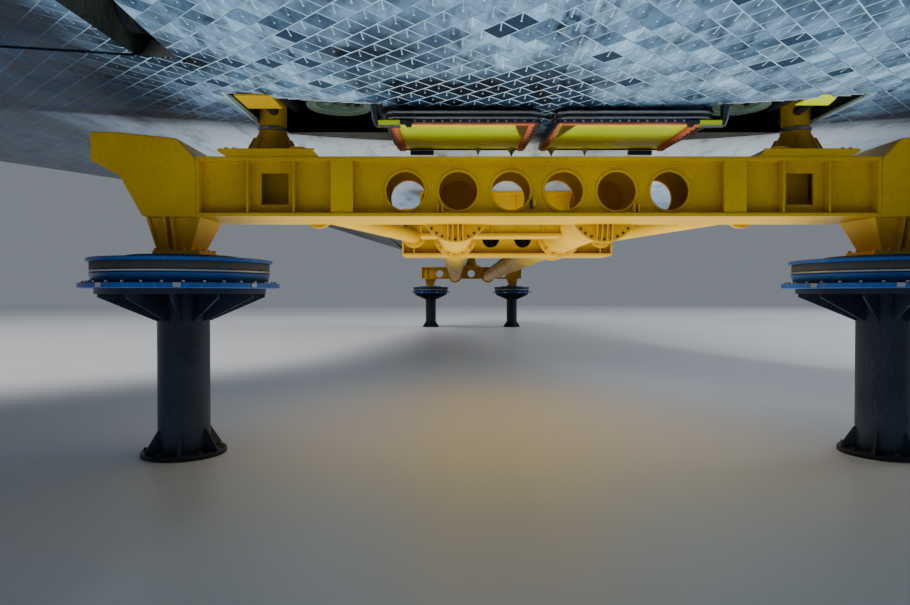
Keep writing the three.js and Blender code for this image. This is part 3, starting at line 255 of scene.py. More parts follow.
def dark_tile_nodes(graph, position, normal):
    """Colour, roughness and height of the dark tiles: pale worn patches, with painted shade outboard, aft and
    along a line, and a painted reflection ahead of the wells.
    """
    tiles, wear = tiles_and_wear(graph, (position, normal), TILE_SIZE, 0.032, 0.5, 0.0)
    x, y, z = graph.split(position)
    side = graph.math("ABSOLUTE", x)
    plain = graph.math("MAXIMUM", graph.ramp(y, 0.0, 7.0), graph.ramp(z, 3.6, 3.9))
    # The zone ahead of the wells, where a painted reflection of far lights turns the tiles pale.
    ahead = graph.times(graph.ramp(y, -8.87, -8.78), graph.ramp(y, -6.5, 3.0, 1.0, 0.0))
    ahead = graph.times(ahead, graph.ramp(side, 3.2, 4.8, 1.0, 0.12))
    # Painted shade: the outer wing, aft of the bright zone, is darkened.
    outboard_painted_shade = graph.times(graph.ramp(side, 2.9, 3.6), graph.ramp(ahead, 0.1, 0.6, 1.0, 0.0))
    shade_line = graph.times(graph.ramp(y, -9.1, -8.95), graph.ramp(y, -8.87, -8.8, 1.0, 0.0))
    shade_line = graph.times(shade_line, graph.ramp(side, 2.4, 3.0))
    broad = graph.plus(graph.cloud(position, 0.55, 4.0, 0.6), graph.ramp(side, 0.3, 2.6, 0.0, 0.12))
    # Pale worn patches, faded out over the outer wing by painted shade.
    pale_wear_and_shade = graph.times(graph.ramp(broad, 0.46, 0.6), graph.ramp(side, 2.8, 3.3, 1.0, 0.16))
    pale_wear_and_shade = graph.times(pale_wear_and_shade, graph.ramp(y, 1.0, 7.0, 1.0, 0.25))
    streaked = graph.cloud(graph.vector("MULTIPLY", position, (2.2, 0.7, 1.0)), 2.6, 6.0, 0.7)
    tone = graph.blend(0.4, tiles["Shade"], wear["Stain"])
    color = graph.mix(graph.ramp(tone, 0.25, 0.95), rgb(0.001, 0.003, 0.007), rgb(0.024, 0.046, 0.075))
    pale = graph.mix(tiles["Shade"], rgb(0.1, 0.17, 0.25), rgb(0.42, 0.56, 0.68))
    newer = graph.math("LESS_THAN", tiles["Shade"], 0.94)
    pale_wear_and_shade = graph.times(pale_wear_and_shade, graph.ramp(streaked, 0.32, 0.58), newer)
    # Painted shade: a dark band just aft of the bright zone, where the pale patches fade out.
    pale_wear_and_shade = graph.times(pale_wear_and_shade, graph.ramp(shade_line, 0.0, 1.0, 1.0, 0.2))
    color = graph.mix(graph.times(pale_wear_and_shade, 0.86), color, pale)
    # Painted reflection: the tiles ahead of the wells are brightened in streaks to a pale blue grey.
    ahead_painted_glare = graph.times(ahead, graph.ramp(streaked, 0.3, 0.5, 0.35, 0.95))
    color = graph.mix(ahead_painted_glare, color, rgb(0.36, 0.4, 0.48))
    color = graph.mix(graph.times(wear["Speckle"], 0.16), color, rgb(0.3, 0.38, 0.45))
    sooty = graph.mix(tone, rgb(0.004, 0.0045, 0.005), rgb(0.026, 0.027, 0.029))
    color = graph.mix(graph.times(plain, 0.88), color, sooty)
    # Painted shade over the outer wing.
    color = graph.mix(graph.times(outboard_painted_shade, 0.55), color, rgb(0.004, 0.009, 0.02))
    bright_joint = graph.times(tiles["Joint"], graph.ramp(pale_wear_and_shade, 0.0, 0.8, 0.8, 0.3))
    fading = graph.times(graph.ramp(side, 2.8, 3.4, 1.0, 0.07), graph.ramp(ahead, 0.0, 1.0, 1.0, 0.25))
    color = graph.mix(graph.times(bright_joint, fading), color, rgb(0.6, 0.74, 0.84))
    dark_joint = graph.times(tiles["Joint"], graph.ramp(pale_wear_and_shade, 0.35, 0.9, 0.0, 0.75))
    color = graph.mix(graph.times(dark_joint, fading), color, rgb(0.02, 0.04, 0.06))
    color = graph.mix(graph.times(tiles["Mark"], 0.85, fading), color, rgb(0.7, 0.77, 0.8))
    # Painted shade: the wing aft of the wells, toward the elevons, is darkened to near black.
    aft_painted_shade = graph.times(graph.ramp(y, -10.9, -10.4, 0.8, 0.0), graph.ramp(side, 2.9, 3.2))
    color = graph.mix(aft_painted_shade, color, rgb(0.001, 0.004, 0.012))
    roughness = graph.ramp(tone, 0.0, 1.0, 0.42, 0.6)
    return color, roughness, tiles["Height"]


def white_tile_nodes(graph, position, normal):
    """Colour, roughness and height of the white blankets and tiles of the sides and top."""
    tiles, wear = tiles_and_wear(graph, (position, normal), 0.62, 0.012, 0.9, 0.15)
    small = fill(graph, TILES, {"Position": position, "Normal": normal, "Size": 0.2, "Joint": 0.025})
    tone = graph.blend(0.6, tiles["Shade"], wear["Stain"])
    color = graph.mix(tone, rgb(0.62, 0.61, 0.58), rgb(0.8, 0.8, 0.78))
    color = graph.mix(graph.times(wear["Speckle"], 0.25), color, rgb(0.42, 0.4, 0.37))
    color = graph.mix(graph.times(small["Joint"], 0.16), color, rgb(0.25, 0.24, 0.23))
    color = graph.mix(graph.times(tiles["Joint"], 0.5), color, rgb(0.2, 0.2, 0.2))
    roughness = graph.ramp(tone, 0.0, 1.0, 0.62, 0.8)
    height = graph.plus(graph.times(small["Height"], 0.3), tiles["Height"])
    return color, roughness, height


def dark_tile_material(name):
    material, graph, shader, position, normal = new_material(name, Specular_IOR_Level=0.1)
    color, roughness, height = dark_tile_nodes(graph, position, normal)
    finish_shader(graph, shader, color, roughness, height, 0.002, 0.5)
    return material


def white_tile_material(name):
    material, graph, shader, position, normal = new_material(name)
    color, roughness, height = white_tile_nodes(graph, position, normal)
    finish_shader(graph, shader, color, roughness, height, 0.003, 0.4)
    return material


def fuselage_material():
    """White above, dark below, with the dark nose and windscreen surround."""
    material, graph, shader, position, normal = new_material("fuselage_skin", Specular_IOR_Level=0.12)
    x, y, z = graph.split(position)
    dark = dark_tile_nodes(graph, position, normal)
    white = white_tile_nodes(graph, position, normal)
    # Height of the dark area's edge, highest at the nose and falling to the chine further aft.
    edge = graph.math(
        "MAXIMUM", graph.ramp(y, 8.5, 18.3, 3.42, 5.55), graph.ramp(y, 15.3, 17.6, 3.2, 6.35)
    )
    below = graph.ramp(graph.minus(z, edge), -0.004, 0.004, 1.0, 0.0)
    side = graph.math("ABSOLUTE", x)
    # Dark surround of the windscreen.
    ahead = graph.ramp(graph.plus(y, graph.times(side, 0.33)), 13.02, 13.04)
    behind = graph.ramp(graph.plus(y, graph.times(side, 0.36)), 14.06, 14.08, 1.0, 0.0)
    surround = graph.times(ahead, behind, graph.ramp(z, 7.15, 7.16))
    mask = graph.math("MAXIMUM", below, surround)
    color = graph.mix(mask, white[0], dark[0])
    roughness = graph.blend(mask, white[1], dark[1])
    height = graph.blend(mask, white[2], dark[2])
    finish_shader(graph, shader, color, roughness, height, 0.0025, 0.45)
    return material


def worn_material(name, colors, rough=(0.4, 0.6), metallic=0.0, scale=2.0, dust=0.2, bump=0.0006, **settings):
    """Paint, metal or plastic with stains between its first two colours, speckle of the third, and dust."""
    low, high, speck = colors
    material, graph, shader, position, normal = new_material(name, metallic, **settings)
    wear = fill(graph, WEAR, {"Position": position, "Normal": normal, "Scale": scale, "Dust": dust})
    color = graph.mix(wear["Stain"], rgb(*low), rgb(*high))
    color = graph.mix(graph.times(wear["Speckle"], 0.45), color, rgb(*speck))
    color = graph.mix(graph.times(wear["Dust"], 0.5), color, rgb(0.42, 0.4, 0.37))
    roughness = graph.ramp(graph.blend(0.4, wear["Stain"], wear["Speckle"]), 0.0, 1.0, *rough)
    finish_shader(graph, shader, color, roughness, wear["Speckle"], bump, 0.5)
    return material


DARK_TILE = dark_tile_material("dark_tiles")
WHITE_TILE = white_tile_material("white_tiles")
FUSELAGE = fuselage_material()
CARBONS = [(0.13, 0.13, 0.128), (0.2, 0.2, 0.195), (0.3, 0.29, 0.27)]
CARBON = worn_material("carbon_panels", CARBONS, (0.45, 0.65))
YELLOWS = [(0.5, 0.26, 0.002), (0.64, 0.34, 0.004), (0.3, 0.16, 0.01)]
YELLOW = worn_material("yellow_paint", YELLOWS, (0.34, 0.5), scale=1.3, dust=0.1, Specular_IOR_Level=0.2)
BLUES = [(0.002, 0.025, 0.11), (0.006, 0.06, 0.22), (0.1, 0.15, 0.25)]
BLUE = worn_material("blue_paint", BLUES, (0.3, 0.5), dust=0.1, Specular_IOR_Level=0.3)
NEAR_BLACKS = [(0.004, 0.005, 0.009), (0.01, 0.012, 0.02), (0.04, 0.04, 0.05)]
# Near-black paint of the columns, also the painted shade of the sheet inside the second beam.
NEAR_BLACK_AND_SHADE = worn_material("near_black_paint", NEAR_BLACKS, (0.35, 0.55), dust=0.15, Specular_IOR_Level=0.3)
STEELS = [(0.42, 0.43, 0.45), (0.6, 0.61, 0.63), (0.2, 0.2, 0.2)]
STEEL = worn_material("bright_steel", STEELS, (0.25, 0.42), 1.0)
BROWNS = [(0.3, 0.27, 0.23), (0.5, 0.46, 0.4), (0.12, 0.1, 0.09)]
BELL_METAL = worn_material("nozzle_metal", BROWNS, (0.3, 0.5), 1.0, scale=1.2, bump=0.002)
SOOTS = [(0.06, 0.055, 0.05), (0.16, 0.14, 0.12), (0.3, 0.28, 0.25)]
SOOT = worn_material("sooty_metal", SOOTS, (0.45, 0.7), 0.6)
PRIMERS = [(0.7, 0.71, 0.008), (0.84, 0.83, 0.02), (0.5, 0.5, 0.02)]
PRIMER = worn_material("yellow_green_primer", PRIMERS, (0.4, 0.6), scale=1.6)
FELTS = [(0.5, 0.09, 0.03), (0.66, 0.16, 0.06), (0.35, 0.08, 0.04)]
FELT = worn_material("orange_red_edging", FELTS, (0.7, 0.9), scale=8.0)
DARK_GREYS = [(0.03, 0.031, 0.033), (0.075, 0.077, 0.08), (0.22, 0.22, 0.22)]
DARK_METAL = worn_material("dark_metal", DARK_GREYS, (0.35, 0.6), 0.7, scale=3.0)
BLACKS = [(0.015, 0.015, 0.016), (0.03, 0.03, 0.03), (0.08, 0.08, 0.08)]
RUBBER = worn_material("dark_seal", BLACKS, (0.6, 0.85))
GREYS = [(0.4, 0.4, 0.39), (0.58, 0.58, 0.56), (0.25, 0.24, 0.22)]
BLANKET = worn_material("grey_blanket", GREYS, (0.75, 0.95), scale=3.0, bump=0.004)
LINERS = [(0.62, 0.61, 0.58), (0.74, 0.73, 0.7), (0.4, 0.38, 0.35)]
LINER = worn_material("bay_liner", LINERS, (0.7, 0.9), scale=1.0, bump=0.002)
SILVERS = [(0.66, 0.67, 0.69), (0.78, 0.79, 0.8), (0.5, 0.5, 0.5)]
RADIATOR = worn_material("silver_radiator", SILVERS, (0.12, 0.25), 0.9)
GREENS = [(0.13, 0.18, 0.1), (0.22, 0.28, 0.17), (0.35, 0.36, 0.3)]
GREEN_PRIMER = worn_material("dull_green_primer", GREENS, (0.45, 0.7), scale=3.0)
PALES = [(0.45, 0.47, 0.5), (0.68, 0.7, 0.73), (0.2, 0.2, 0.2)]
EDGE_PAINT = worn_material("pale_edge_paint", PALES, scale=4.0)
WELL_COLORS = [(0.008, 0.01, 0.008), (0.022, 0.027, 0.02), (0.1, 0.12, 0.08)]
WELL_DARK = worn_material("well_lining", WELL_COLORS, (0.5, 0.75), scale=4.0, bump=0.003)


def glass_material():
    material, graph, shader, position, _ = new_material("window_glass", IOR=1.5)
    shader.inputs["Coat Weight"].default_value = 0.6
    tint = graph.cloud(position, 1.5, 3.0)
    color = graph.mix(tint, rgb(0.004, 0.005, 0.007), rgb(0.012, 0.015, 0.02))
    finish_shader(graph, shader, color, graph.ramp(tint, 0.0, 1.0, 0.03, 0.09))
    return material


GLASS = glass_material()

# Mesh helpers
SMOOTH_ANGLE = math.radians(32)
BEVEL_ANGLE = math.radians(40)


def new_piece(name, mesh, body=ROOT, nodes=()):
    """Links a mesh as a piece that rides on a body and stands for the CAD nodes it replaces."""
    piece = bpy.data.objects.new(name, mesh)
    bpy.context.scene.collection.objects.link(piece)
    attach(piece, body)
    if nodes:
        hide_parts(*nodes)
    return piece


def flipped(mesh):
    """The port twin of a starboard mesh."""
    twin = mesh.copy()
    twin.transform(Matrix.Scale(-1, 4, Vector((1, 0, 0))))
    twin.flip_normals()
    twin.set_sharp_from_angle(angle=SMOOTH_ANGLE)
    return twin


def add_pairs(*pieces):
    """Starboard pieces and their port twins, each from its name, mesh, slot (not used), body and replaced
    node.

    The side goes where a name has braces. A piece without a body of its own rides on the root.
    """
    for sign, side in SIDES:
        for name, mesh, slot, body, node in pieces:
            one = mesh if sign > 0 else flipped(mesh)
            nodes = [node.format(side)] if node else ()
            new_piece(name.format(side), one, body.format(side) or ROOT, nodes)


def mesh_from(name, points, faces, materials, marks=None, smooth=True):
    """A mesh with its doubled points merged and its faces turned outward. Marks pick each face's material."""
    mesh = bpy.data.meshes.new(name)
    mesh.from_pydata([tuple(p) for p in points], [], faces)
    for material in materials:
        mesh.materials.append(material)
    if marks:
        mesh.polygons.foreach_set("material_index", marks)
    tidy = bmesh.new()
    tidy.from_mesh(mesh)
    bmesh.ops.remove_doubles(tidy, verts=tidy.verts, dist=0.0002)
    bmesh.ops.recalc_face_normals(tidy, faces=tidy.faces)
    tidy.to_mesh(mesh)
    tidy.free()
    mesh.polygons.foreach_set("use_smooth", [smooth] * len(mesh.polygons))
    if smooth:
        mesh.set_sharp_from_angle(angle=SMOOTH_ANGLE)
    mesh.update()
    return mesh


def loft(rings, closed=True, cap=True, mark=None):
    """Points, faces and face marks of a skin through rings that have the same count of points."""
    count = len(rings[0])
    points = [p for ring in rings for p in ring]
    faces, marks = [], []
    last = count if closed else count - 1
    for r in range(len(rings) - 1):
        for i in range(last):
            j = (i + 1) % count
            faces.append((r * count + i, r * count + j, (r + 1) * count + j, (r + 1) * count + i))
            marks.append(mark(r, i) if mark else 0)
    if cap:
        faces.append(tuple(range(count)))
        faces.append(tuple(range(len(points) - count, len(points))))
        marks += [mark(0, -1) if mark else 0, mark(len(rings) - 1, -1) if mark else 0]
    return points, faces, marks


def joined(parts):
    """One part of (points, faces, marks) from several."""
    points, faces, marks = [], [], []
    for part_points, part_faces, part_marks in parts:
        start = len(points)
        points += part_points
        faces += [tuple(i + start for i in face) for face in part_faces]
        marks += part_marks
    return points, faces, marks


def join_meshes(name, parts, materials):
    """One mesh from parts of (points, faces, marks)."""
    points, faces, marks = joined(parts)
    return mesh_from(name, points, faces, materials, marks)


def disc_frame(axis):
    """An axis of unit length and two directions across it."""
    axis = axis.normalized()
    first = UP.cross(axis).normalized() if abs(axis.z) < 0.99 else Vector((1, 0, 0))
    return axis, first, axis.cross(first).normalized()


def turns(count, share=0.0):
    """Angles at even steps round a circle, started a share of a step on."""
    return [2 * math.pi * (i + share) / count for i in range(count)]


def turned(profile, base, axis, sides=48, mark=0, closed=False):
    """A turned skin: profile is a list of (radius, distance along the axis)."""
    axis, u, v = disc_frame(axis)
    rings = []
    for radius, distance in profile:
        middle = base + axis * distance
        rings.append([middle + (u * math.cos(t) + v * math.sin(t)) * radius for t in turns(sides)])
    if closed:
        rings.append(rings[0])
    points, faces, _ = loft(rings, cap=False)
    return points, faces, [mark] * len(faces)


def rod(start, end, radius, sides=24, mark=0, end_radius=None, bevel=0.0):
    """A round bar with closed and, if asked, softened ends."""
    axis = end - start
    length = axis.length
    tip = radius if end_radius is None else end_radius
    near, far = [(radius, 0)], [(tip, length)]
    if bevel:
        near = [(radius - bevel, 0), (radius, bevel)]
        far = [(tip, length - bevel), (tip - bevel, length)]
    return turned([(0, 0), *near, *far, (0, length)], start, axis, sides, mark)


def tube_along(path, radius, sides=12, mark=0):
    """A round pipe that follows a list of points."""
    rings = []
    for i, p in enumerate(path):
        before, after = path[max(i - 1, 0)], path[min(i + 1, len(path) - 1)]
        _, u, v = disc_frame(after - before)
        rings.append([p + (u * math.cos(t) + v * math.sin(t)) * radius for t in turns(sides)])
    points, faces, _ = loft(rings)
    return points, faces, [mark] * len(faces)


def block(x0, x1, y0, y1, z0, z1, mark=0):
    """A box with its edges along the axes."""
    points = [Vector((x, y, z)) for z in (z0, z1) for x, y in ((x0, y0), (x1, y0), (x1, y1), (x0, y1))]
    faces = [(3, 2, 1, 0), (4, 5, 6, 7), (0, 1, 5, 4), (1, 2, 6, 5), (2, 3, 7, 6), (3, 0, 4, 7)]
    return points, faces, [mark] * 6


def body_block(s0, s1, b0, b1, w0, w1, mark=0):
    """A box between two stations, two sides in either order and two waterlines."""
    low, high = at(s1, min(b0, b1), w0), at(s0, max(b0, b1), w1)
    return block(low.x, high.x, low.y, high.y, low.z, high.z, mark)


def prism(outline, axis, start, end, mark=0):
    """A flat outline of (u, v) pushed along X, Y or Z."""
    spread = {
        "x": lambda u, v, w: Vector((w, u, v)),
        "y": lambda u, v, w: Vector((u, w, v)),
        "z": lambda u, v, w: Vector((u, v, w)),
    }[axis]
    return with_mark(loft([[spread(u, v, w) for u, v in outline] for w in (start, end)]), mark)


def with_mark(part, mark):
    return part[0], part[1], [mark] * len(part[1])


def mirrored(part):
    points, faces, marks = part
    return [Vector((-p.x, p.y, p.z)) for p in points], [tuple(reversed(face)) for face in faces], list(marks)


def bevelled(mesh, width):
    """Softens a mesh's hard edges."""
    shape = bmesh.new()
    shape.from_mesh(mesh)
    hard = [e for e in shape.edges if len(e.link_faces) == 2 and e.calc_face_angle(0.0) > BEVEL_ANGLE]
    bmesh.ops.bevel(shape, geom=hard, offset=width, segments=2, affect="EDGES", clamp_overlap=True)
    shape.to_mesh(mesh)
    shape.free()
    mesh.polygons.foreach_set("use_smooth", [True] * len(mesh.polygons))
    mesh.set_sharp_from_angle(angle=SMOOTH_ANGLE)
    return mesh


def carved(mesh, cutter_mesh, operation="DIFFERENCE"):
    """The mesh after a boolean with another mesh, whose materials come with it."""
    target = bpy.data.objects.new("carve_target", mesh)
    cutter = bpy.data.objects.new("carve_cutter", cutter_mesh)
    for thing in (target, cutter):
        bpy.context.scene.collection.objects.link(thing)
    change = target.modifiers.new("carve", "BOOLEAN")
    change.operation = operation
    change.solver = "EXACT"
    change.material_mode = "TRANSFER"
    change.object = cutter
    bpy.context.view_layer.update()
    graph = bpy.context.evaluated_depsgraph_get()
    result = bpy.data.meshes.new_from_object(target.evaluated_get(graph))
    for thing in (target, cutter):
        bpy.data.objects.remove(thing)
    result.polygons.foreach_set("use_smooth", [True] * len(result.polygons))
    result.set_sharp_from_angle(angle=SMOOTH_ANGLE)
    return result


def bolt_heads(places, direction, radius=0.014, height=0.012, mark=0):
    """Six-sided bolt heads standing on a face."""
    return joined([rod(p - direction * 0.002, p + direction * height, radius, 6, mark) for p in places])


def on_circle(centre, axis, radius, count, turn=0.0):
    axis, u, v = disc_frame(axis)
    return [centre + (u * math.cos(turn + t) + v * math.sin(turn + t)) * radius for t in turns(count)]


# Fuselage form
def smooth_rows(rows):
    """A function that gives every column of a table at any value of its first, with no overshoot."""
    xs = [row[0] for row in rows]
    columns = list(zip(*rows))[1:]

    def slopes(ys):
        steps = [(ys[i + 1] - ys[i]) / (xs[i + 1] - xs[i]) for i in range(len(xs) - 1)]
        inner = [0.0 if a * b <= 0 else 2 * a * b / (a + b) for a, b in zip(steps, steps[1:])]
        return [steps[0], *inner, steps[-1]]

    tangents = [slopes(ys) for ys in columns]

    def value(x):
        i = max(0, min(len(xs) - 2, next((k for k in range(len(xs) - 1) if x <= xs[k + 1]), len(xs) - 2)))
        width = xs[i + 1] - xs[i]
        t = min(1.0, max(0.0, (x - xs[i]) / width))
        a, b, c, d = 2 * t**3 - 3 * t**2 + 1, t**3 - 2 * t**2 + t, 3 * t**2 - 2 * t**3, t**3 - t**2
        return [
            a * ys[i] + b * width * ms[i] + c * ys[i + 1] + d * width * ms[i + 1]
            for ys, ms in zip(columns, tangents)
        ]

    return value


# Station, half width, waterlines of the keel, the greatest width and the crown, how round the lower
# corners are, and the power of the curve over the top.
SECTIONS = [
    (236, 3, 335, 338, 341, 0.97, 2),
    (237.5, 12, 326, 338, 350, 0.97, 2),
    (242, 21, 317, 338, 359, 0.97, 2),
    (249, 29.5, 309, 338.5, 368, 0.97, 2),
    (258, 37, 302.5, 339, 377, 0.97, 2),
    (275, 47.5, 295.5, 341, 391, 0.95, 2),
    (300, 59, 289.5, 345, 407, 0.9, 2),
    (340, 73, 283, 351, 427, 0.8, 2),
    (380, 84, 278.5, 358, 443, 0.7, 2.05),
    (428, 93, 274.5, 368, 460, 0.58, 2.1),
    (450, 96.5, 273.5, 374, 481, 0.52, 2.15),
    (470, 99, 272.5, 380, 498, 0.46, 2.15),
    (484, 100.5, 272, 385, 505, 0.42, 2.15),
    (520, 103, 270.5, 393, 507, 0.32, 2.1),
    (576, 105, 269, 400, 505, 0.2, 2),
    (720, 105, 267.5, 400, 505, 0.06, 2),
    (1307, 105, 267, 400, 505, 0.02, 2),
    (1400, 105.5, 267.5, 400, 504, 0.03, 2),
    (1460, 108.5, 272, 400, 502, 0.08, 2.05),
    (1520, 113, 279, 400, 498, 0.12, 2.1),
]
section_at = smooth_rows(SECTIONS)
SILL = 416
BAY_RADIUS, BAY_LEVEL = 93, 400
BELLY_STEPS = 10
CORNER_STEPS = 10
CROWN_STEPS = 26


def half_outline(station, grow=0.0, top=True):
    """One side of the fuselage's section, from the middle of the belly up, as (side, waterline)."""
    half, keel, wide, crown, roundness, full = section_at(station)
    half, keel, crown = half + grow, keel - grow, crown + grow
    rise = 4.5 * (1 - roundness)
    rx, rz = half * roundness, (wide - keel - rise) * roundness
    points = []
    for i in range(BELLY_STEPS):
        t = i / BELLY_STEPS
        points.append((t * (half - rx), keel + rise * t**2.5))
    for i in range(CORNER_STEPS + 1):
        turn = math.pi / 2 * i / CORNER_STEPS
        points.append((half - rx + rx * math.sin(turn), keel + rise + rz - rz * math.cos(turn)))
    if not top:
        return points + [(half, wide)]
    for i in range(CROWN_STEPS + 1):
        turn = math.pi / 2 * i / CROWN_STEPS
        c, s = max(math.cos(turn), 0.0) ** (2 / full), math.sin(turn) ** (2 / full)
        points.append((half * c if i < CROWN_STEPS else 0.0, wide + (crown - wide) * s))
    return points


def body_ring(station, grow=0.0):
    right = half_outline(station, grow)
    left = [(-b, w) for b, w in reversed(right[1:-1])]
    return [at(station, b, w) for b, w in right + left]


def spread(start, end, step):
    """Even values from start to end, no further apart than a step."""
    count = max(1, math.ceil(abs(end - start) / step))
    return [start + (end - start) * i / count for i in range(count + 1)]


def body_skin(name, stations, grow=0.0, material=None):
    """The fuselage's skin through a list of stations, closed at both ends."""
    points, faces, _ = loft([body_ring(s, grow) for s in stations])
    return mesh_from(name, points, faces, [material or FUSELAGE])


def top_water(station, side, grow=0.0):
    """Waterline of the skin above the widest line."""
    half, _, wide, crown, _, full = section_at(station)
    share = min(1.0, abs(side) / (half + grow))
    return wide + (crown + grow - wide) * max(0.0, 1 - share**full) ** (1 / full)


def side_reach(station, water):
    """Half width of the skin at a waterline above the flat of the belly."""
    half, keel, wide, crown, roundness, full = section_at(station)
    if water >= wide:
        return half * max(0.0, 1 - ((water - wide) / (crown - wide)) ** full) ** (1 / full)
    rise = 4.5 * (1 - roundness)
    rx, rz = half * roundness, (wide - keel - rise) * roundness
    if water >= keel + rise + rz or rz <= 0:
        return half
    turn = math.acos(max(-1.0, min(1.0, (keel + rise + rz - water) / rz)))
    return half - rx + rx * math.sin(turn)


# Nose and cabin
HATCH_STATION, HATCH_WATER = 487, 352
WINDOWS = [
    [(3, 437), (25, 439.5), (25, 465), (3, 464)],
    [(29, 440), (51, 446), (48, 469), (29, 465.5)],
    [(55, 448), (73, 459), (65, 476), (52, 470.5)],
    [(8, 489), (30, 489), (30, 509), (8, 509)],
]
NOSE_WELL = (302, 374, 19, 318)  # front, back, half width, roof


def rounded_outline(corners, radius, steps=5):
    """A polygon with its corners rounded off."""
    result = []
    count = len(corners)
    for i in range(count):
        before, here, after = (Vector(corners[(i + k - 1) % count]) for k in range(3))
        a, b = (before - here).normalized(), (after - here).normalized()
        reach = min(radius, (before - here).length * 0.45, (after - here).length * 0.45)
        for k in range(steps + 1):
            t = k / steps
            result.append(tuple(here + a * reach * (1 - t) ** 2 + b * reach * t**2))
    return result


def make_nose():
    stations = [236, 236.4, 236.9, 237.5, 238.5, 240, 242, 244.5, 247.5, 251, 254.5, 257.6]
    cap = body_skin("nose_cap_skin", stations, 0.0, CARBON)
    new_piece("nose_cap_shell", cap, ROOT, ["nose_cap"])
    seal = loft([body_ring(257.5, -0.35), body_ring(258.4, -0.35)], cap=False)
    seal = mesh_from("nose_cap_seal_skin", seal[0], seal[1], [RUBBER])
    new_piece("nose_cap_seal", seal, ROOT)


def window_prism(outline, low, high, material):
    part = prism([(b * INCH, y_of(s)) for b, s in outline], "z", z_of(low), z_of(high))
    return mesh_from("window_cutter", *part[:2], [material])


def make_forward_fuselage():
    skin = body_skin("forward_skin", spread(258, 428, 5) + spread(430, 520, 3) + spread(526, 576, 7))
    cabin = body_skin("cabin_cutter", spread(428, 520, 6), -5.0, LINER)
    for floor, ceiling, half in ((402, 520, 90), (292, 396, 96)):
        room = join_meshes("room", [body_block(400, 560, -half, half, floor, ceiling)], [LINER])
        skin = carved(skin, carved(cabin.copy(), room, "INTERSECT"))
    for outline in WINDOWS:
        for sign in (1, -1):
            corners = rounded_outline([(sign * b, s) for b, s in outline], 2.5)
            skin = carved(skin, window_prism(corners, 420, 530, DARK_METAL))
    plug = rod(at(HATCH_STATION, -110, HATCH_WATER), at(HATCH_STATION, -80, HATCH_WATER), 20.5 * INCH, 64)
    skin = carved(skin, join_meshes("hatch_cutter", [plug], [DARK_METAL]))
    front, back, half, roof = NOSE_WELL
    well = join_meshes("nose_well_cutter", [body_block(front, back, -half, half, 260, roof)], [GREEN_PRIMER])
    skin = carved(skin, well)
    new_piece("forward_skin_shell", skin, ROOT, ["forward_fuselage"])
    fitting = rod(at(388, 0, 290), at(388, 0, 274), 5 * INCH, 32, bevel=0.01)
    new_piece("forward_attach_fitting", join_meshes("fitting", [fitting], [STEEL]), ROOT)


def make_windows():
    """Dark panes a little under the skin, each in a bevelled frame."""
    parts, frames = [], []
    for outline in WINDOWS:
        for sign in (1, -1):
            corners = [(sign * b, s) for b, s in outline]
            grid = 8
            points, faces = [], []
            for thick in (-2.2, -2.9):
                for i in range(grid + 1):
                    for k in range(grid + 1):
                        u, v = i / grid, k / grid
                        b = (corners[0][0] * (1 - u) + corners[1][0] * u) * (1 - v)
                        b += (corners[3][0] * (1 - u) + corners[2][0] * u) * v
                        s = (corners[0][1] * (1 - u) + corners[1][1] * u) * (1 - v)
                        s += (corners[3][1] * (1 - u) + corners[2][1] * u) * v
                        points.append(at(s, b, top_water(s, b, thick)))
            size = grid + 1
            for layer in range(2):
                for i in range(grid):
                    for k in range(grid):
                        first = layer * size * size + i * size + k
                        faces.append((first, first + 1, first + size + 1, first + size))
            rim = [i * size for i in range(size)] + [grid * size + k for k in range(1, size)]
            rim += [i * size + grid for i in range(grid - 1, -1, -1)] + list(range(grid - 1, 0, -1))
            for i, first in enumerate(rim):
                second = rim[(i + 1) % len(rim)]
                faces.append((first, second, second + size * size, first + size * size))
            parts.append((points, faces, [0] * len(faces)))
            edge = rounded_outline(corners, 2.5)
            centre = Vector((sum(c[0] for c in corners) / 4, sum(c[1] for c in corners) / 4))
            rings = []
            for scale, depth in ((1.0, -0.2), (1.0, 0.25), (1.07, 0.25), (1.09, -0.2)):
                ring = [centre + (Vector(p) - centre) * scale for p in edge]
                rings.append([at(s, b, top_water(s, b, depth)) for b, s in ring])
            rings.append(rings[0])
            frames.append(with_mark(loft(rings, cap=False), 0))
    new_piece("window_panes", join_meshes("panes", parts, [GLASS]), ROOT, ["window_glass"])
    new_piece("window_frames", join_meshes("frames", frames, [DARK_TILE]), ROOT)


# Radius and height over the skin, from the middle of the inner face out and back to the window.
HATCH_PROFILE = [
    (0.02, -4.6), (10, -4.6), (19.9, -4.6), (19.9, -3.6), (19.9, -0.1), (19.6, 0.0),
    (13, 0.0), (6, 0.0), (5.6, 0.0), (5.4, -0.8), (0.02, -0.8),
]


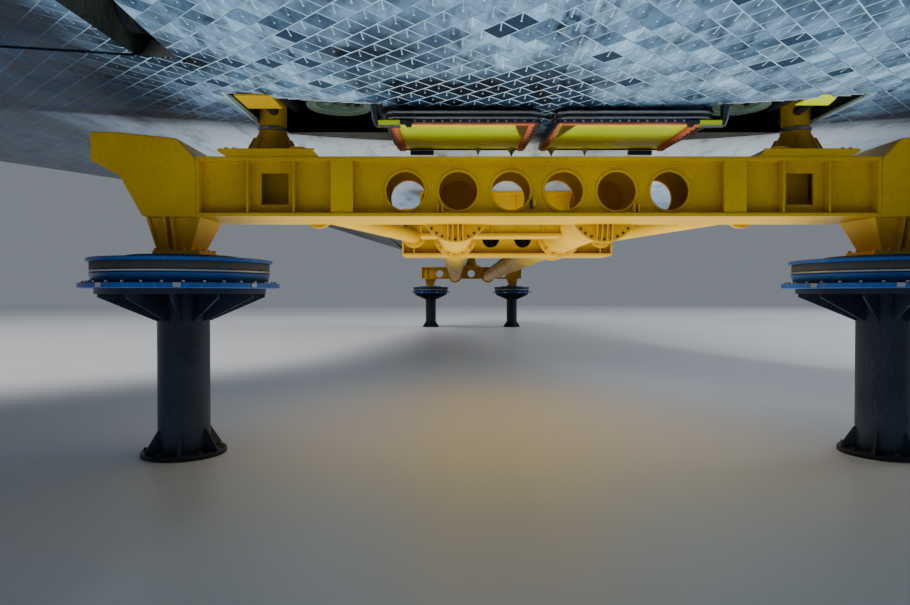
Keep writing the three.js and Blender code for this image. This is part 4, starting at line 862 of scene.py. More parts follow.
def make_side_hatch():
    """Round hatch in the port side, with its small window, edge ring and hinge."""
    rings = []
    for radius, out in HATCH_PROFILE:
        ring = []
        for t in turns(64):
            s, w = HATCH_STATION + radius * math.cos(t), HATCH_WATER + radius * math.sin(t)
            ring.append(at(s, -side_reach(s, w) - out, w))
        rings.append(ring)
    points, faces, marks = loft(rings, mark=lambda r, i: 2 if r >= 8 else (0 if r >= 3 else 1))
    mesh = mesh_from("hatch_skin", points, faces, [WHITE_TILE, LINER, GLASS], marks)
    new_piece("side_hatch_disc", mesh, "side_hatch", ["side_hatch"])
    axis = lambda s: at(s, -101.35 - (s - 487) * 0.07, 331.3)
    parts = [rod(axis(489 - 4), axis(489), 0.6 * INCH, 20, bevel=0.003)]
    parts.append(body_block(485.1, 488.9, -101.8, -99.2, 332.7, 334.8))
    new_piece("side_hatch_leaf", join_meshes("hatch_leaf", parts, [DARK_METAL]), "side_hatch")
    parts = [rod(axis(489 + 0.1), axis(493), 0.6 * INCH, 20, bevel=0.003)]
    parts.append(body_block(489.2, 492.9, -101.3, -98.8, 330.5, 331.6))
    new_piece("side_hatch_lug", join_meshes("hatch_lug", parts, [DARK_METAL]), ROOT)


def port(parts, point, normal, radius, depth=0.05):
    """A round nozzle mouth, a lip round a dark disc just above the skin."""
    base = point - normal * depth
    profile = [(radius * 1.16, depth - 0.02), (radius * 1.14, depth + 0.01), (radius * 1.02, depth + 0.011)]
    parts.append(turned(profile, base, normal, 28, 0))
    profile = [(radius * 1.02, depth + 0.011), (radius * 0.92, depth + 0.005), (0.001, depth + 0.004)]
    parts.append(turned(profile, base, normal, 28, 1))


def skin_normal(station, side, water):
    """A point of the skin and the outward direction there, found from its neighbours."""
    sign = 1 if side >= 0 else -1
    half, _, wide = section_at(station)[:3]
    if abs(side) < half * 0.75 and water > wide:
        here = at(station, side, top_water(station, side))
        ahead = at(station - 4, side, top_water(station - 4, side))
        across = at(station, side + 2, top_water(station, side + 2))
        normal = (ahead - here).cross(across - here)
        return here, (normal if normal.z > 0 else -normal).normalized()
    here = at(station, sign * side_reach(station, water), water)
    ahead = at(station - 4, sign * side_reach(station - 4, water), water)
    above = at(station, sign * side_reach(station, water + 2), water + 2)
    normal = (ahead - here).cross(above - here)
    return here, (normal if normal.x * sign > 0 else -normal).normalized()


def make_forward_fittings():
    """Thruster mouths and small ports round the nose, and the two air data probes."""
    parts = []
    for side in (-12, 0, 12):
        point, normal = skin_normal(302, side, 400)
        point.z = at(0, 0, top_water(302, side)).z
        port(parts, point, normal, 0.115, 0.09)
    for sign in (1, -1):
        for station, water in ((308, 356), (326, 358), (312, 341), (330, 342)):
            point, normal = skin_normal(station, sign * 60, water)
            port(parts, point, normal, 0.11, 0.08)
        point, normal = skin_normal(346, sign * 70, 340)
        port(parts, point, normal, 0.05, 0.04)
        for station, water in ((432, 380), (446, 380)):
            point, normal = skin_normal(station, sign * 90, water)
            port(parts, point, normal, 0.07, 0.03)
    new_piece("nose_thruster_mouths", join_meshes("mouths", parts, [CARBON, RUBBER]), ROOT)
    parts = []
    for sign in (1, -1):
        foot, normal = skin_normal(330, sign * 70, 322)
        tip = foot + Vector((sign * 0.16, 0.28, -0.03))
        parts.append(rod(foot - normal * 0.02, foot + Vector((sign * 0.15, 0.02, -0.02)), 0.03, 20, 0, 0.018))
        parts.append(rod(foot + Vector((sign * 0.15, 0.0, -0.02)), tip, 0.018, 16, 0, 0.008))
    new_piece("air_data_probes", join_meshes("probes", parts, [DARK_METAL]), ROOT)


# Load bay
DOOR_KNUCKLES = (640, 940, 1240)
DOOR_SEAMS = (720, 867, 1013, 1160)


def trough_ring(station):
    """Section of the open mid fuselage, and how many of its points lie on the starboard outer skin."""
    outer = [(b, w) for b, w in half_outline(station, top=False) if w < SILL]
    half = section_at(station)[0]
    outer.append((half * math.sqrt(max(0.0, 1 - (16 / 105) ** 2)), SILL))
    inner = [(BAY_RADIUS, SILL)]
    for i in range(25):
        turn = math.pi / 2 * i / 24
        inner.append((BAY_RADIUS * math.cos(turn), BAY_LEVEL - BAY_RADIUS * math.sin(turn)))
    right = outer[1:] + inner[:-1]
    left = [(-b, w) for b, w in right]
    ring = [outer[0], *right, inner[-1], *reversed(left)]
    return [at(station, b, w) for b, w in ring], len(outer)


def make_mid_fuselage():
    stations = [588] + spread(594, 1306.9, 34)
    rings = [trough_ring(s) for s in stations]
    outer = rings[0][1]
    total = len(rings[0][0])
    mark = lambda r, i: 0 if (i < outer or i >= total - outer) and i >= 0 else 1
    points, faces, marks = loft([r[0] for r in rings], mark=mark)
    marks[-2:] = [1, 1]
    body = (points, faces, marks)
    front = []
    for s in (576, 582, 588.2):
        right = [(b, w) for b, w in half_outline(s, top=False) if w < SILL]
        right.append((section_at(s)[0] * math.sqrt(1 - (16 / 105) ** 2), SILL))
        front.append([at(s, b, w) for b, w in right + [(-b, w) for b, w in reversed(right[1:])]])
    bulkhead = loft(front)
    bulkhead = bulkhead[0], bulkhead[1], [0] * (len(bulkhead[1]) - 2) + [1, 1]
    mesh = join_meshes("mid_skin", [body, bulkhead], [FUSELAGE, LINER])
    new_piece("mid_skin_shell", mesh, ROOT, ["mid_fuselage"])


def over_bay(station, outline):
    """Points round the load bay's middle line from (radius, angle above the starboard side)."""
    return [at(station, r * math.cos(t), BAY_LEVEL + r * math.sin(t)) for r, t in outline]


def make_bay_structure():
    """Frames, longerons, trays and bulkhead panels inside the load bay."""
    frames = []
    for station in spread(640, 1250, 56):
        rings = []
        for radius, off in ((92.9, -2), (88.5, -1.2), (88.5, 1.2), (92.9, 2)):
            arc = [(radius, -math.pi * i / 40) for i in range(41)]
            rings.append(over_bay(station + off, arc))
        frames.append(with_mark(loft(rings, closed=False, cap=False), 0))
    for sign in (1, -1):
        for water, side, size in ((411, 88, 4.5), (380, 88.5, 2.5), (352, 76, 2.2)):
            low, high = water - size / 2, water + size / 2
            frames.append(body_block(590, 1305, sign * (side - size), sign * side, low, high, 1))
        frames.append(body_block(592, 1304, sign * 14, sign * 20, 310.5, 314, 2))
        for station in spread(660, 1280, 42):
            frames.append(body_block(station - 2, station + 2, sign * 83, sign * 90, 413, 417.5, 3))
    frames.append(body_block(592, 1304, -3, 3, 308, 312.5, 3))
    mesh = join_meshes("bay_structure", frames, [LINER, GREEN_PRIMER, LINER, STEEL])
    new_piece("bay_frames", mesh, ROOT)
    parts = []
    for station in (590.2, 1304.8):
        for side in (-52, -26, 0, 26, 52):
            parts.append(body_block(station - 1.6, station + 1.6, side - 1.2, side + 1.2, 330, 412, 0))
        parts.append(rod(at(station - 2, 0, 372), at(station + 2, 0, 372), 0.52, 48, 1, bevel=0.01))
        parts.append(rod(at(station - 2.6, 0, 372), at(station + 2.6, 0, 372), 0.44, 48, 0, bevel=0.01))
    new_piece("bay_end_walls", join_meshes("bay_ends", parts, [LINER, STEEL]), ROOT)


# The doors' outer and inner radius, the height of their foot over the bay's level, and half the gap on top.
DOOR_OUT, DOOR_IN, DOOR_FOOT, DOOR_GAP = 105, 98, 16.4, 0.4


def bay_arc_bar(outline, start, end, mark):
    return with_mark(loft([over_bay(start, outline), over_bay(end, outline)]), mark)


def door_ring(station, sink):
    """Section of the starboard door, its outer skin sunk in at the seams."""
    low, high = math.asin(DOOR_FOOT / DOOR_OUT), math.acos(DOOR_GAP / DOOR_OUT)
    outer = [(DOOR_OUT - sink, low + (high - low) * i / 40) for i in range(41)]
    low, high = math.asin(DOOR_FOOT / DOOR_IN), math.acos(DOOR_GAP / DOOR_IN)
    inner = [(DOOR_IN, high + (low - high) * i / 30) for i in range(31)]
    return over_bay(station, outer + inner)


def make_load_bay_doors():
    start, end = 576.4, 1306.6
    plan = [(start, 0.0)]
    for seam in DOOR_SEAMS:
        plan += [(seam - 0.55, 0.0), (seam - 0.35, 0.45), (seam + 0.35, 0.45), (seam + 0.55, 0.0)]
    plan.append((end, 0.0))
    filled = []
    for (s0, k0), (s1, k1) in zip(plan, plan[1:]):
        count = 3 if s1 - s0 > 5 else 1
        filled += [(s0 + (s1 - s0) * i / count, k0 + (k1 - k0) * i / count) for i in range(count)]
    filled.append(plan[-1])
    rings = [door_ring(s, k) for s, k in filled]
    mark = lambda r, i: 0 if 0 <= i < 40 else 1
    skin = loft(rings, mark=mark)
    knuckles, hinge = [], (106.1, 413)
    for station in DOOR_KNUCKLES:
        knuckles.append(rod(at(station - 4, *hinge), at(station, *hinge), 0.85 * INCH, 24, 2, bevel=0.003))
        knuckles.append(body_block(station - 3.9, station - 0.1, 105.2, 106.8, 412.6, 419, 2))
    panels = []
    for s0, s1 in ((600, 760), (764, 924), (928, 1110), (1114, 1296)):
        outline = [(97.9, math.radians(16 + 70 * i / 36)) for i in range(37)]
        outline += [(96.0, math.radians(86 - 70 * i / 36)) for i in range(37)]
        panels.append(bay_arc_bar(outline, s0, s1, 3))
        for i in range(1, 12):
            t = math.radians(16 + 70 * i / 12)
            rib = [(96.1, t - 0.004), (95.5, t - 0.002), (95.5, t + 0.002), (96.1, t + 0.004)]
            panels.append(bay_arc_bar(rib, s0 + 2, s1 - 2, 3))
    parts = [skin, *knuckles, *panels]
    materials = [FUSELAGE, LINER, DARK_METAL, RADIATOR]
    for side, chosen in (("right", parts), ("left", [mirrored(p) for p in parts])):
        node = "load_bay_door_" + side
        mesh = join_meshes("bay_door_" + side, chosen, materials)
        new_piece("load_bay_door_skin_" + side, mesh, node, [node])
    lugs = []
    for sign in (1, -1):
        for station in DOOR_KNUCKLES:
            start, end = at(station + 0.1, sign * 106.1, 413), at(station + 4, sign * 106.1, 413)
            lugs.append(rod(start, end, 0.9 * INCH, 24, 0, bevel=0.003))
            lugs.append(body_block(station + 0.2, station + 3.9, sign * 103, sign * 106.1, 410, 413))
    new_piece("bay_door_lugs", join_meshes("door_lugs", lugs, [DARK_METAL]), ROOT)


# Wings
ROOT_SIDE = 105
ROOT_FLOOR = 271.8
ROOT_TAIL = 1505
DIHEDRAL = math.tan(math.radians(3.5))
TAIL_SWEEP = math.tan(math.radians(10.056))
KINK = (199, 1043)  # side and station where the main wing's leading edge would meet the glove
TIP_CURVE = 446
HINGE_STATION = 1387
LEADING_EDGE = [
    (97, 455), (106, 512), (140, 715), (180, 950), (199, 1028), (225, 1069),
    (312, 1156), (446, 1290), (462, 1312), (468, 1342),
]
leading_at = smooth_rows(LEADING_EDGE)
TURN_UP = [
    (97, 12, 180), (140, 11, 180), (180, 11, 170), (199, 13, 135), (225, 17, 110),
    (312, 16.4, 93), (446, 8.1, 46), (462, 5, 36), (468, 2.5, 25),
]
WHEEL_WELL = (1046, 1186, 110, 164, 300)  # front, back, inner side, outer side, roof
BRACKETS = (113, 312, 464)


def wing_floor(side):
    return ROOT_FLOOR + (side - ROOT_SIDE) * DIHEDRAL


def trailing_station(side):
    return ROOT_TAIL - (side - ROOT_SIDE) * TAIL_SWEEP


def hinge_radius(side):
    return 14.3 - 0.0222 * (side - ROOT_SIDE)


def hinge_water(side):
    return wing_floor(side) + hinge_radius(side)


def aerofoil(share):
    """Thickness of a symmetrical aerofoil, 1 at its thickest."""
    if not 0 < share < 1:
        return 0.0
    bent = 0.2969 * math.sqrt(share) - 0.126 * share - 0.3516 * share**2 + 0.2843 * share**3
    return (bent - 0.1015 * share**4) / 0.1


def turn_up(side):
    """How high the leading edge stands above the flat of the lower face, and how far the turn-up reaches."""
    for (b0, lift0, run0), (b1, lift1, run1) in zip(TURN_UP, TURN_UP[1:]):
        if side <= b1:
            t = (side - b0) / (b1 - b0)
            return lift0 + (lift1 - lift0) * t, run0 + (run1 - run0) * t
    return TURN_UP[-1][1:]


def fullness(side, leading, station):
    return min(1.0, aerofoil(0.3 * min(1.0, max(0.0, station - leading) / turn_up(side)[1])))


def wing_under(side, leading, station):
    """Waterline of the lower face above the flat floor."""
    return turn_up(side)[0] * (1 - fullness(side, leading, station))


def wing_thickness(side, leading, station):
    main_leading = leading if side > TIP_CURVE else KINK[1] + side - KINK[0]
    chord = trailing_station(side) - main_leading
    main = 0.105 * chord * aerofoil((station - main_leading) / chord)
    glove = max(3.0, 24 - 0.1 * (side - ROOT_SIDE)) * fullness(side, leading, station)
    glove *= 1 - 0.4 * max(0.0, min(1.0, (station - HINGE_STATION + 140) / 80))
    return (main**6 + glove**6) ** (1 / 6)


def belly_water(side):
    """Waterline of the belly's skin beside the wing's root."""
    return 267 + 4.5 * min(1.0, side / 102.9) ** 2.5


def wing_ring(side):
    """Section of the starboard wing as (station, waterline): over the top, round the cove, back under."""
    leading, floor = leading_at(side)[0], wing_floor(side)
    if side < 106:
        floor += (belly_water(102.5) - 0.05 - wing_floor(102.5)) * (106 - side) / 3.5
    radius, cove = hinge_radius(side), hinge_radius(side) + 0.6
    centre = hinge_water(side)
    upper_lip, lower_lip = math.radians(39), math.radians(12)
    lip = HINGE_STATION - cove * math.sin(upper_lip)
    match = 2 * radius / wing_thickness(side, leading, HINGE_STATION - 1)
    run = turn_up(side)[1]
    ring = [(leading, floor + turn_up(side)[0])]
    stations = [leading + run * (i / EDGE_STEPS) ** 2 for i in range(1, EDGE_STEPS + 1)]
    further = [stations[-1] + (lip - stations[-1]) * i / BACK_STEPS for i in range(1, BACK_STEPS + 1)]
    for station in stations + further:
        share = (station - leading) / (lip - leading)
        depth = wing_thickness(side, leading, station) * (1 + (match - 1) * share**3)
        ring.append((station, floor + wing_under(side, leading, station) + depth))
    for i in range(COVE_STEPS):
        turn = upper_lip + (math.pi - lower_lip - upper_lip) * i / (COVE_STEPS - 1)
        ring.append((HINGE_STATION - cove * math.sin(turn), centre + cove * math.cos(turn)))
    back = HINGE_STATION - cove * math.sin(lower_lip)
    ring.append((back, floor))
    for i in range(1, 6):
        ring.append((back + (stations[-1] - back) * i / 6, floor))
    for station in reversed(stations):
        ring.append((station, floor + wing_under(side, leading, station) - 0.005))
    return ring


EDGE_STEPS, BACK_STEPS, COVE_STEPS = 14, 20, 11
UPPER_END = EDGE_STEPS + BACK_STEPS
COVE_END = UPPER_END + COVE_STEPS
UNDER_START = COVE_END + 6  # where the lower face's turn-up begins


def wing_sides():
    sides = [102.5, 104, 106, 112, 122, 131, 140, 150, 160, 170, 180, 186, 192, 199, 206, 213, 219, 225]
    return sides + spread(236, 446, 14) + [450, 455, 459, 462, 464.5, 466.5, 467.6, 468]


def wing_mark(sides):
    """Carbon panels round the leading edge outboard, white above, dark below, blanket in the cove."""

    def mark(r, i):
        if i < 0:
            return 0
        panels = sides[r] >= 165 and (i < 13 or i >= UNDER_START + EDGE_STEPS - 6)
        if panels:
            return 2
        if i < UPPER_END:
            return 1 if i >= 2 else 0
        return 3 if i < COVE_END else 0

    return mark


def make_wings():
    sides = wing_sides()
    rings = [[at(s, side, w) for s, w in wing_ring(side)] for side in sides]
    points, faces, marks = loft(rings, mark=wing_mark(sides))
    mesh = mesh_from("wing_skin", points, faces, [DARK_TILE, WHITE_TILE, CARBON, BLANKET], marks)
    front, back, inner, outer, roof = WHEEL_WELL
    well = join_meshes("wheel_well", [body_block(front, back, inner, outer, 250, roof)], [GREEN_PRIMER])
    skin = carved(mesh, well)
    brackets = []
    for side in BRACKETS:
        radius = hinge_radius(side) * 0.62
        start, end = (at(HINGE_STATION, side + k * 1.5, hinge_water(side + k * 1.5)) for k in (-1, 1))
        brackets.append(rod(start, end, radius * INCH, 48, 0, bevel=0.004))
        low, high = hinge_water(side) - radius * 0.7, hinge_water(side) + radius * 0.7
        arm_end = HINGE_STATION - 3.4
        arm_start = arm_end - hinge_radius(side) - 6
        brackets.append(body_block(arm_start, arm_end, side - 1.5, side + 1.5, low, high))
    hinges = join_meshes("wing_brackets", brackets, [DARK_METAL])
    add_pairs(
        ("wing_skin_{}", skin, "black_tiles", "", "wing_{}"),
        ("elevon_brackets_{}", hinges, "alloy", "", ""),
    )


def elevon_ring(side):
    radius, centre, floor = hinge_radius(side), hinge_water(side), wing_floor(side)
    tail = trailing_station(side)
    tail_water = floor - (tail - HINGE_STATION) * math.tan(math.radians(3)) * 0.6
    ring = []
    for i in range(25):
        turn = math.pi * i / 24
        ring.append((HINGE_STATION - radius * math.sin(turn), centre - radius * math.cos(turn)))
    top = smooth_rows([(0, centre + radius), (0.5, centre + radius * 0.42), (1, tail_water + 1.2)])
    for i in range(1, 13):
        ring.append((HINGE_STATION + (tail - HINGE_STATION) * i / 12, top(i / 12)[0]))
    ring.append((tail, tail_water))
    for i in range(1, 8):
        t = i / 8
        ring.append((tail + (HINGE_STATION - tail) * t, tail_water + (floor - tail_water) * t))
    return ring


def make_elevons():
    for part, inner, outer in (("inner", BRACKETS[0], BRACKETS[1]), ("outer", BRACKETS[1], BRACKETS[2])):
        start, end = inner + 2.1, outer - 2.1
        sides = [start, start + 0.4, *spread(start + 1.2, end - 1.2, 20), end - 0.4, end]
        rings = []
        for k, side in enumerate(sides):
            inset = (0.35, 0.08, 0)[min(k, len(sides) - 1 - k, 2)]
            ring = elevon_ring(side)
            ms, mw = (sum(column) / len(ring) for column in zip(*ring))
            along, up = inset * 0.008, inset * 0.06
            rings.append([at(s + (ms - s) * along, side, w + (mw - w) * up) for s, w in ring])
        mark = lambda r, i: 2 if i < 0 else (0 if i < 12 or i >= 36 else 1)
        points, faces, marks = loft(rings, mark=mark)
        skin = mesh_from("elevon_skin", points, faces, [DARK_TILE, WHITE_TILE, WELL_DARK], marks)
        stubs = []
        for near, far in ((start + 1, inner + 1.51), (end - 1, outer - 1.51)):
            a, b = at(HINGE_STATION, near, hinge_water(near)), at(HINGE_STATION, far, hinge_water(far))
            stubs.append(rod(a, b, 3 * INCH, 32))
        pins = join_meshes("elevon_stubs", stubs, [STEEL])
        elevon = f"elevon_{part}_"
        add_pairs(
            (elevon + "skin_{}", skin, "black_tiles", elevon + "{}", elevon + "{}"),
            (elevon + "stubs_{}", pins, "alloy", elevon + "{}", ""),
        )


def hinge_halves(leaves, lugs, station, line, radius, mark=0):
    """The door's and the frame's half of a hinge pin, ahead of a station and behind it on a hinge line."""
    leaves.append(rod(line(station - 4), line(station), radius * INCH, 20, mark, bevel=0.002))
    lugs.append(rod(line(station + 0.1), line(station + 4), radius * INCH, 20, bevel=0.002))


def make_wheel_doors():
    front, back, inner, outer, _ = WHEEL_WELL
    rings = []
    for side, inset in ((inner + 0.5, 0.25), (inner + 0.9, 0), (outer - 1.4, 0), (outer - 1, 0.25)):
        floor = wing_floor(side)
        f, b = front + 0.5 + inset, back - 0.5 - inset
        ring = [(f, floor + inset), (b, floor + inset), (b, floor + 3.9), (f, floor + 3.9)]
        rings.append([at(s, side, w) for s, w in ring])
    door = loft(rings, mark=lambda r, i: 0 if i == 0 else 1)
    leaves, lugs = [], []
    water = wing_floor(outer) - 0.75
    for station in (1075, 1160):
        hinge_halves(leaves, lugs, station, lambda s: at(s, outer, water), 0.55, 2)
        low = water - 0.4
        leaves.append(body_block(station - 3.9, station - 0.1, outer - 3, outer - 0.1, low, water + 1.6, 2))
        lugs.append(body_block(station + 0.2, station + 3.9, outer, outer + 2.5, low, water + 2.5))
    mesh = join_meshes("wheel_door", [door, *leaves], [DARK_TILE, PRIMER, DARK_METAL])
    lug_mesh = join_meshes("wheel_door_lugs", lugs, [DARK_METAL])
    add_pairs(
        ("wheel_door_panel_{}", mesh, "black_tiles", "wheel_door_{}", "wheel_door_{}"),
        ("wheel_door_lugs_{}", lug_mesh, "alloy", "", ""),
    )


def make_nose_doors():
    front, back, half, _ = NOSE_WELL
    outer = body_skin("nose_door_skin", spread(298, 378, 4), 0.0, DARK_TILE)
    inner = body_skin("nose_door_inside", spread(296, 380, 6), -3.5, PRIMER)
    slab = body_block(front + 0.5, back - 0.5, 0.3, half - 1, 250, 300)
    slab = join_meshes("nose_door_block", [slab], [PRIMER])
    shell = carved(carved(outer, slab, "INTERSECT"), inner)
    leaves, lugs = [], []
    hinge_level = lambda s: 286.8 - (s - 320) * 0.154
    for station in (322, 360):
        water = hinge_level(station)
        hinge_halves(leaves, lugs, station, lambda s: at(s, half, hinge_level(s)), 0.5)
        low = water - 0.4
        leaves.append(body_block(station - 3.9, station - 0.1, half - 3, half - 0.1, low, water + 2))
        lugs.append(body_block(station + 0.2, station + 3.9, half, half + 2.5, low, water + 3))
    leaf_mesh = join_meshes("nose_door_leaves", leaves, [DARK_METAL])
    lug_mesh = join_meshes("nose_door_lugs", lugs, [DARK_METAL])
    node = "nose_gear_door_{}"
    add_pairs(
        ("nose_gear_door_skin_{}", shell, "black_tiles", node, node),
        ("nose_gear_door_leaf_{}", leaf_mesh, "alloy", node, ""),
        ("nose_gear_door_lug_{}", lug_mesh, "alloy", "", ""),
    )


# Aft fuselage and engines
ENGINES = {
    "upper": ((1445, 0, 443), 16, 0),
    "left": ((1468, -53, 342.6), 10, -3.5),
    "right": ((1468, 53, 342.6), 10, 3.5),
}
POD_ENGINE = ((1512, 88, 490), 12, 5)
WELL = (1306, 1356, 52, 102)  # front, back, inner side, outer side
WELL_ROOF = 285


def axis_of(pitch, yaw):
    """Direction out of an engine's mouth from its cant up and to starboard, in degrees."""
    p, y = math.radians(pitch), math.radians(yaw)
    return Vector((math.sin(y), -math.cos(y) * math.cos(p), math.sin(p))).normalized()


def scaled(profile, size=INCH):
    """A profile of (radius, distance) in inches, or in another unit, given in metres."""
    return [(radius * size, distance * size) for radius, distance in profile]


def turned_mesh(name, profile, engine, material):
    """A ring turned about an engine's axis, from a closed profile in inches."""
    base, axis = at(*engine[0]), axis_of(*engine[1:])
    part = turned(scaled(profile + [profile[0]]), base, axis, 64)
    return mesh_from(name, part[0], part[1], [material])


def engine_room(name, radius, near, far, engine, material):
    """A solid cylinder on an engine's axis, for cutting its room out of a skin."""
    base, axis = at(*engine[0]), axis_of(*engine[1:])
    part = rod(base + axis * near * INCH, base + axis * far * INCH, radius * INCH, 64)
    return mesh_from(name, part[0], part[1], [material])


def side_prism(name, outline, half, material):
    part = prism([(y_of(s), z_of(w)) for s, w in outline], "x", -half * INCH, half * INCH)
    return mesh_from(name, part[0], part[1], [material])


BASE_CUT = [(1524, 240), (1524, 302), (1538, 309), (1489, 515), (1480, 540), (1600, 540), (1600, 240)]


COLLAR = [(45.05, 40), (48.2, 40), (48.5, 40.6), (48.5, 59.8), (48.0, 60.5), (45.3, 60.5), (45.05, 60)]


def ball_band(inner, outer, angles):
    """Profile of a band round a ball: out along its outer radius and back along its inner one."""
    there = [(outer * math.sin(math.radians(a)), outer * math.cos(math.radians(a))) for a in angles]
    back = [(inner * math.sin(math.radians(a)), inner * math.cos(math.radians(a))) for a in reversed(angles)]
    return there + back


def make_aft_fuselage():
    skin = body_skin("aft_skin", spread(1307.1, 1400, 16) + spread(1406, 1520, 6))
    skin = carved(skin, side_prism("base_cut", BASE_CUT, 130, DARK_TILE))
    for engine in ENGINES.values():
        skin = carved(skin, engine_room("base_relief", 55, 59.5, 130, engine, DARK_TILE))
    for engine in ENGINES.values():
        skin = carved(skin, engine_room("engine_bay", 45, -14, 130, engine, SOOT))
    front, back, inner, outer = WELL
    for sign in (1, -1):
        well = body_block(front - 2, back, sign * inner, sign * outer, 255, WELL_ROOF)
        skin = carved(skin, join_meshes("well", [well], [WELL_DARK]))
    new_piece("aft_skin_shell", skin, ROOT, ["aft_fuselage"])
    for name, engine in ENGINES.items():
        mesh = turned_mesh("collar", COLLAR, engine, DARK_TILE)
        new_piece(f"engine_collar_{name}", mesh, ROOT)
        dome = ball_band(75, 77.5, spread(26, 38, 2))
        new_piece(f"engine_dome_{name}", turned_mesh("dome", dome, engine, BLANKET), ROOT)
        station, side, water = engine[0]
        ears = []
        for k in (-1, 1):
            ears.append(body_block(1430, station + 4, side + k * 6.02, side + k * 8, water - 4, water + 4))
        ears.append(body_block(1430, station - 8, side - 7, side + 7, water - 4, water + 4))
        mesh = bevelled(join_meshes("thrust_ears", ears, [DARK_METAL]), 0.006)
        new_piece(f"thrust_fitting_{name}", mesh, ROOT)
    lugs = [body_block(1515, 1533.5, s - 2, s + 2, 285.5, 290.5) for s in (-96, 96)]
    new_piece("flap_lugs", bevelled(join_meshes("lugs", lugs, [DARK_METAL]), 0.006), ROOT)


def cross_parts(centre, scale):
    """Cross pin of a two-way gimbal."""
    size = scale * INCH
    x, z = Vector((6 * size, 0, 0)), Vector((0, 0, 6 * size))
    return [
        rod(centre - x, centre + x, 2.5 * size, 32, bevel=0.3 * size),
        rod(centre - z, centre + z, 2.5 * size, 32, bevel=0.3 * size),
    ]


def engine_ears(centre, scale, mark):
    """The two ears that hold an engine to its gimbal's upright pin."""
    size = scale * INCH
    parts = []
    for k in (-1, 1):
        z0, z1 = sorted((centre.z + k * (6 * size + 0.0003), centre.z + k * 8 * size))
        x, y = centre.x, centre.y
        parts.append(block(x - 3.5 * size, x + 3.5 * size, y - 16 * size, y + 4 * size, z0, z1, mark))
    return parts


BELL_ROWS = [(83, 21.5), (92, 24), (104, 31), (115, 36.5), (131, 41), (147, 43.8), (160, 45.6), (170, 46.3)]
BELL = smooth_rows(BELL_ROWS)
POWER_HEAD = [(0.01, 9), (25, 9), (27, 11), (27, 36), (24, 41), (17, 50), (15, 54), (15, 80), (22, 83.5)]
BELL_BANDS = (98, 107, 116, 125, 134, 143, 152, 161)


def bell_profile():
    """Outside of a main nozzle with its stiffening bands, then the inside back to the throat."""
    banded = []
    for d in spread(83, 170, 1.0):
        lift = 0.9 if any(abs(d - band) < 1.3 for band in BELL_BANDS) else 0.0
        banded.append((BELL(d)[0] + lift, d))
    inside = [(BELL(d)[0] - 1.5, d) for d in reversed(spread(88, 170, 4))]
    return banded, inside


def make_main_engines():
    for name, engine in ENGINES.items():
        node = "main_engine_" + name
        base, axis = at(*engine[0]), axis_of(*engine[1:])
        outside, inside = bell_profile()
        bell_skin = turned(scaled(outside + [(46.6, 170.2), (45.2, 170.2)]), base, axis, 96, 0)
        throat = turned(scaled([(45.2, 170.2)] + inside + [(9, 86), (0.01, 84)]), base, axis, 96, 1)
        blanket = turned(scaled(ball_band(80.9, 79.2, spread(11, 27, 2))), base, axis, 72, 2)
        power = turned(scaled(POWER_HEAD), base, axis, 48, 3)
        ring = [(46.6, 164.5), (48.2, 165), (48.6, 166.6), (48.2, 168.2), (46.6, 168.7)]
        manifold = turned(scaled(ring), base, axis, 96, 0)
        pipes = []
        _, u, v = disc_frame(axis)
        for turn in turns(3):
            out = u * math.cos(turn + 0.5) + v * math.sin(turn + 0.5)
            path = [base + (axis * d + out * (BELL(d)[0] + 2.3)) * INCH for d in spread(86, 166, 5)]
            pipes.append(tube_along(path, 1.25 * INCH, 14, 0))
        parts = [bell_skin, throat, blanket, power, manifold, *pipes, *engine_ears(base, 1, 3)]
        mesh = join_meshes("main_engine", parts, [BELL_METAL, SOOT, BLANKET, DARK_METAL])
        new_piece(node + "_nozzle", mesh, node, [node])
        gimbal = "main_gimbal_" + name
        mesh = join_meshes("gimbal", cross_parts(base, 1), [STEEL])
        new_piece(gimbal + "_cross", mesh, gimbal, [gimbal])


# Station, side and waterline of the middle, half width, half height.
POD_SECTIONS = [
    (1311, 66, 470, 5, 5), (1328, 70, 473, 17, 15), (1355, 75, 477, 28, 26), (1400, 82, 481, 37, 36),
    (1450, 87, 485, 41, 42), (1500, 88, 487, 42, 43), (1524, 88, 487, 39, 40),
]
POD_ROWS = smooth_rows(POD_SECTIONS)
POD_SCALE = 0.42


def pod_ring(station):
    side, water, wide, high = POD_ROWS(station)
    return [at(station, side + wide * math.cos(t), water + high * math.sin(t)) for t in turns(56)]


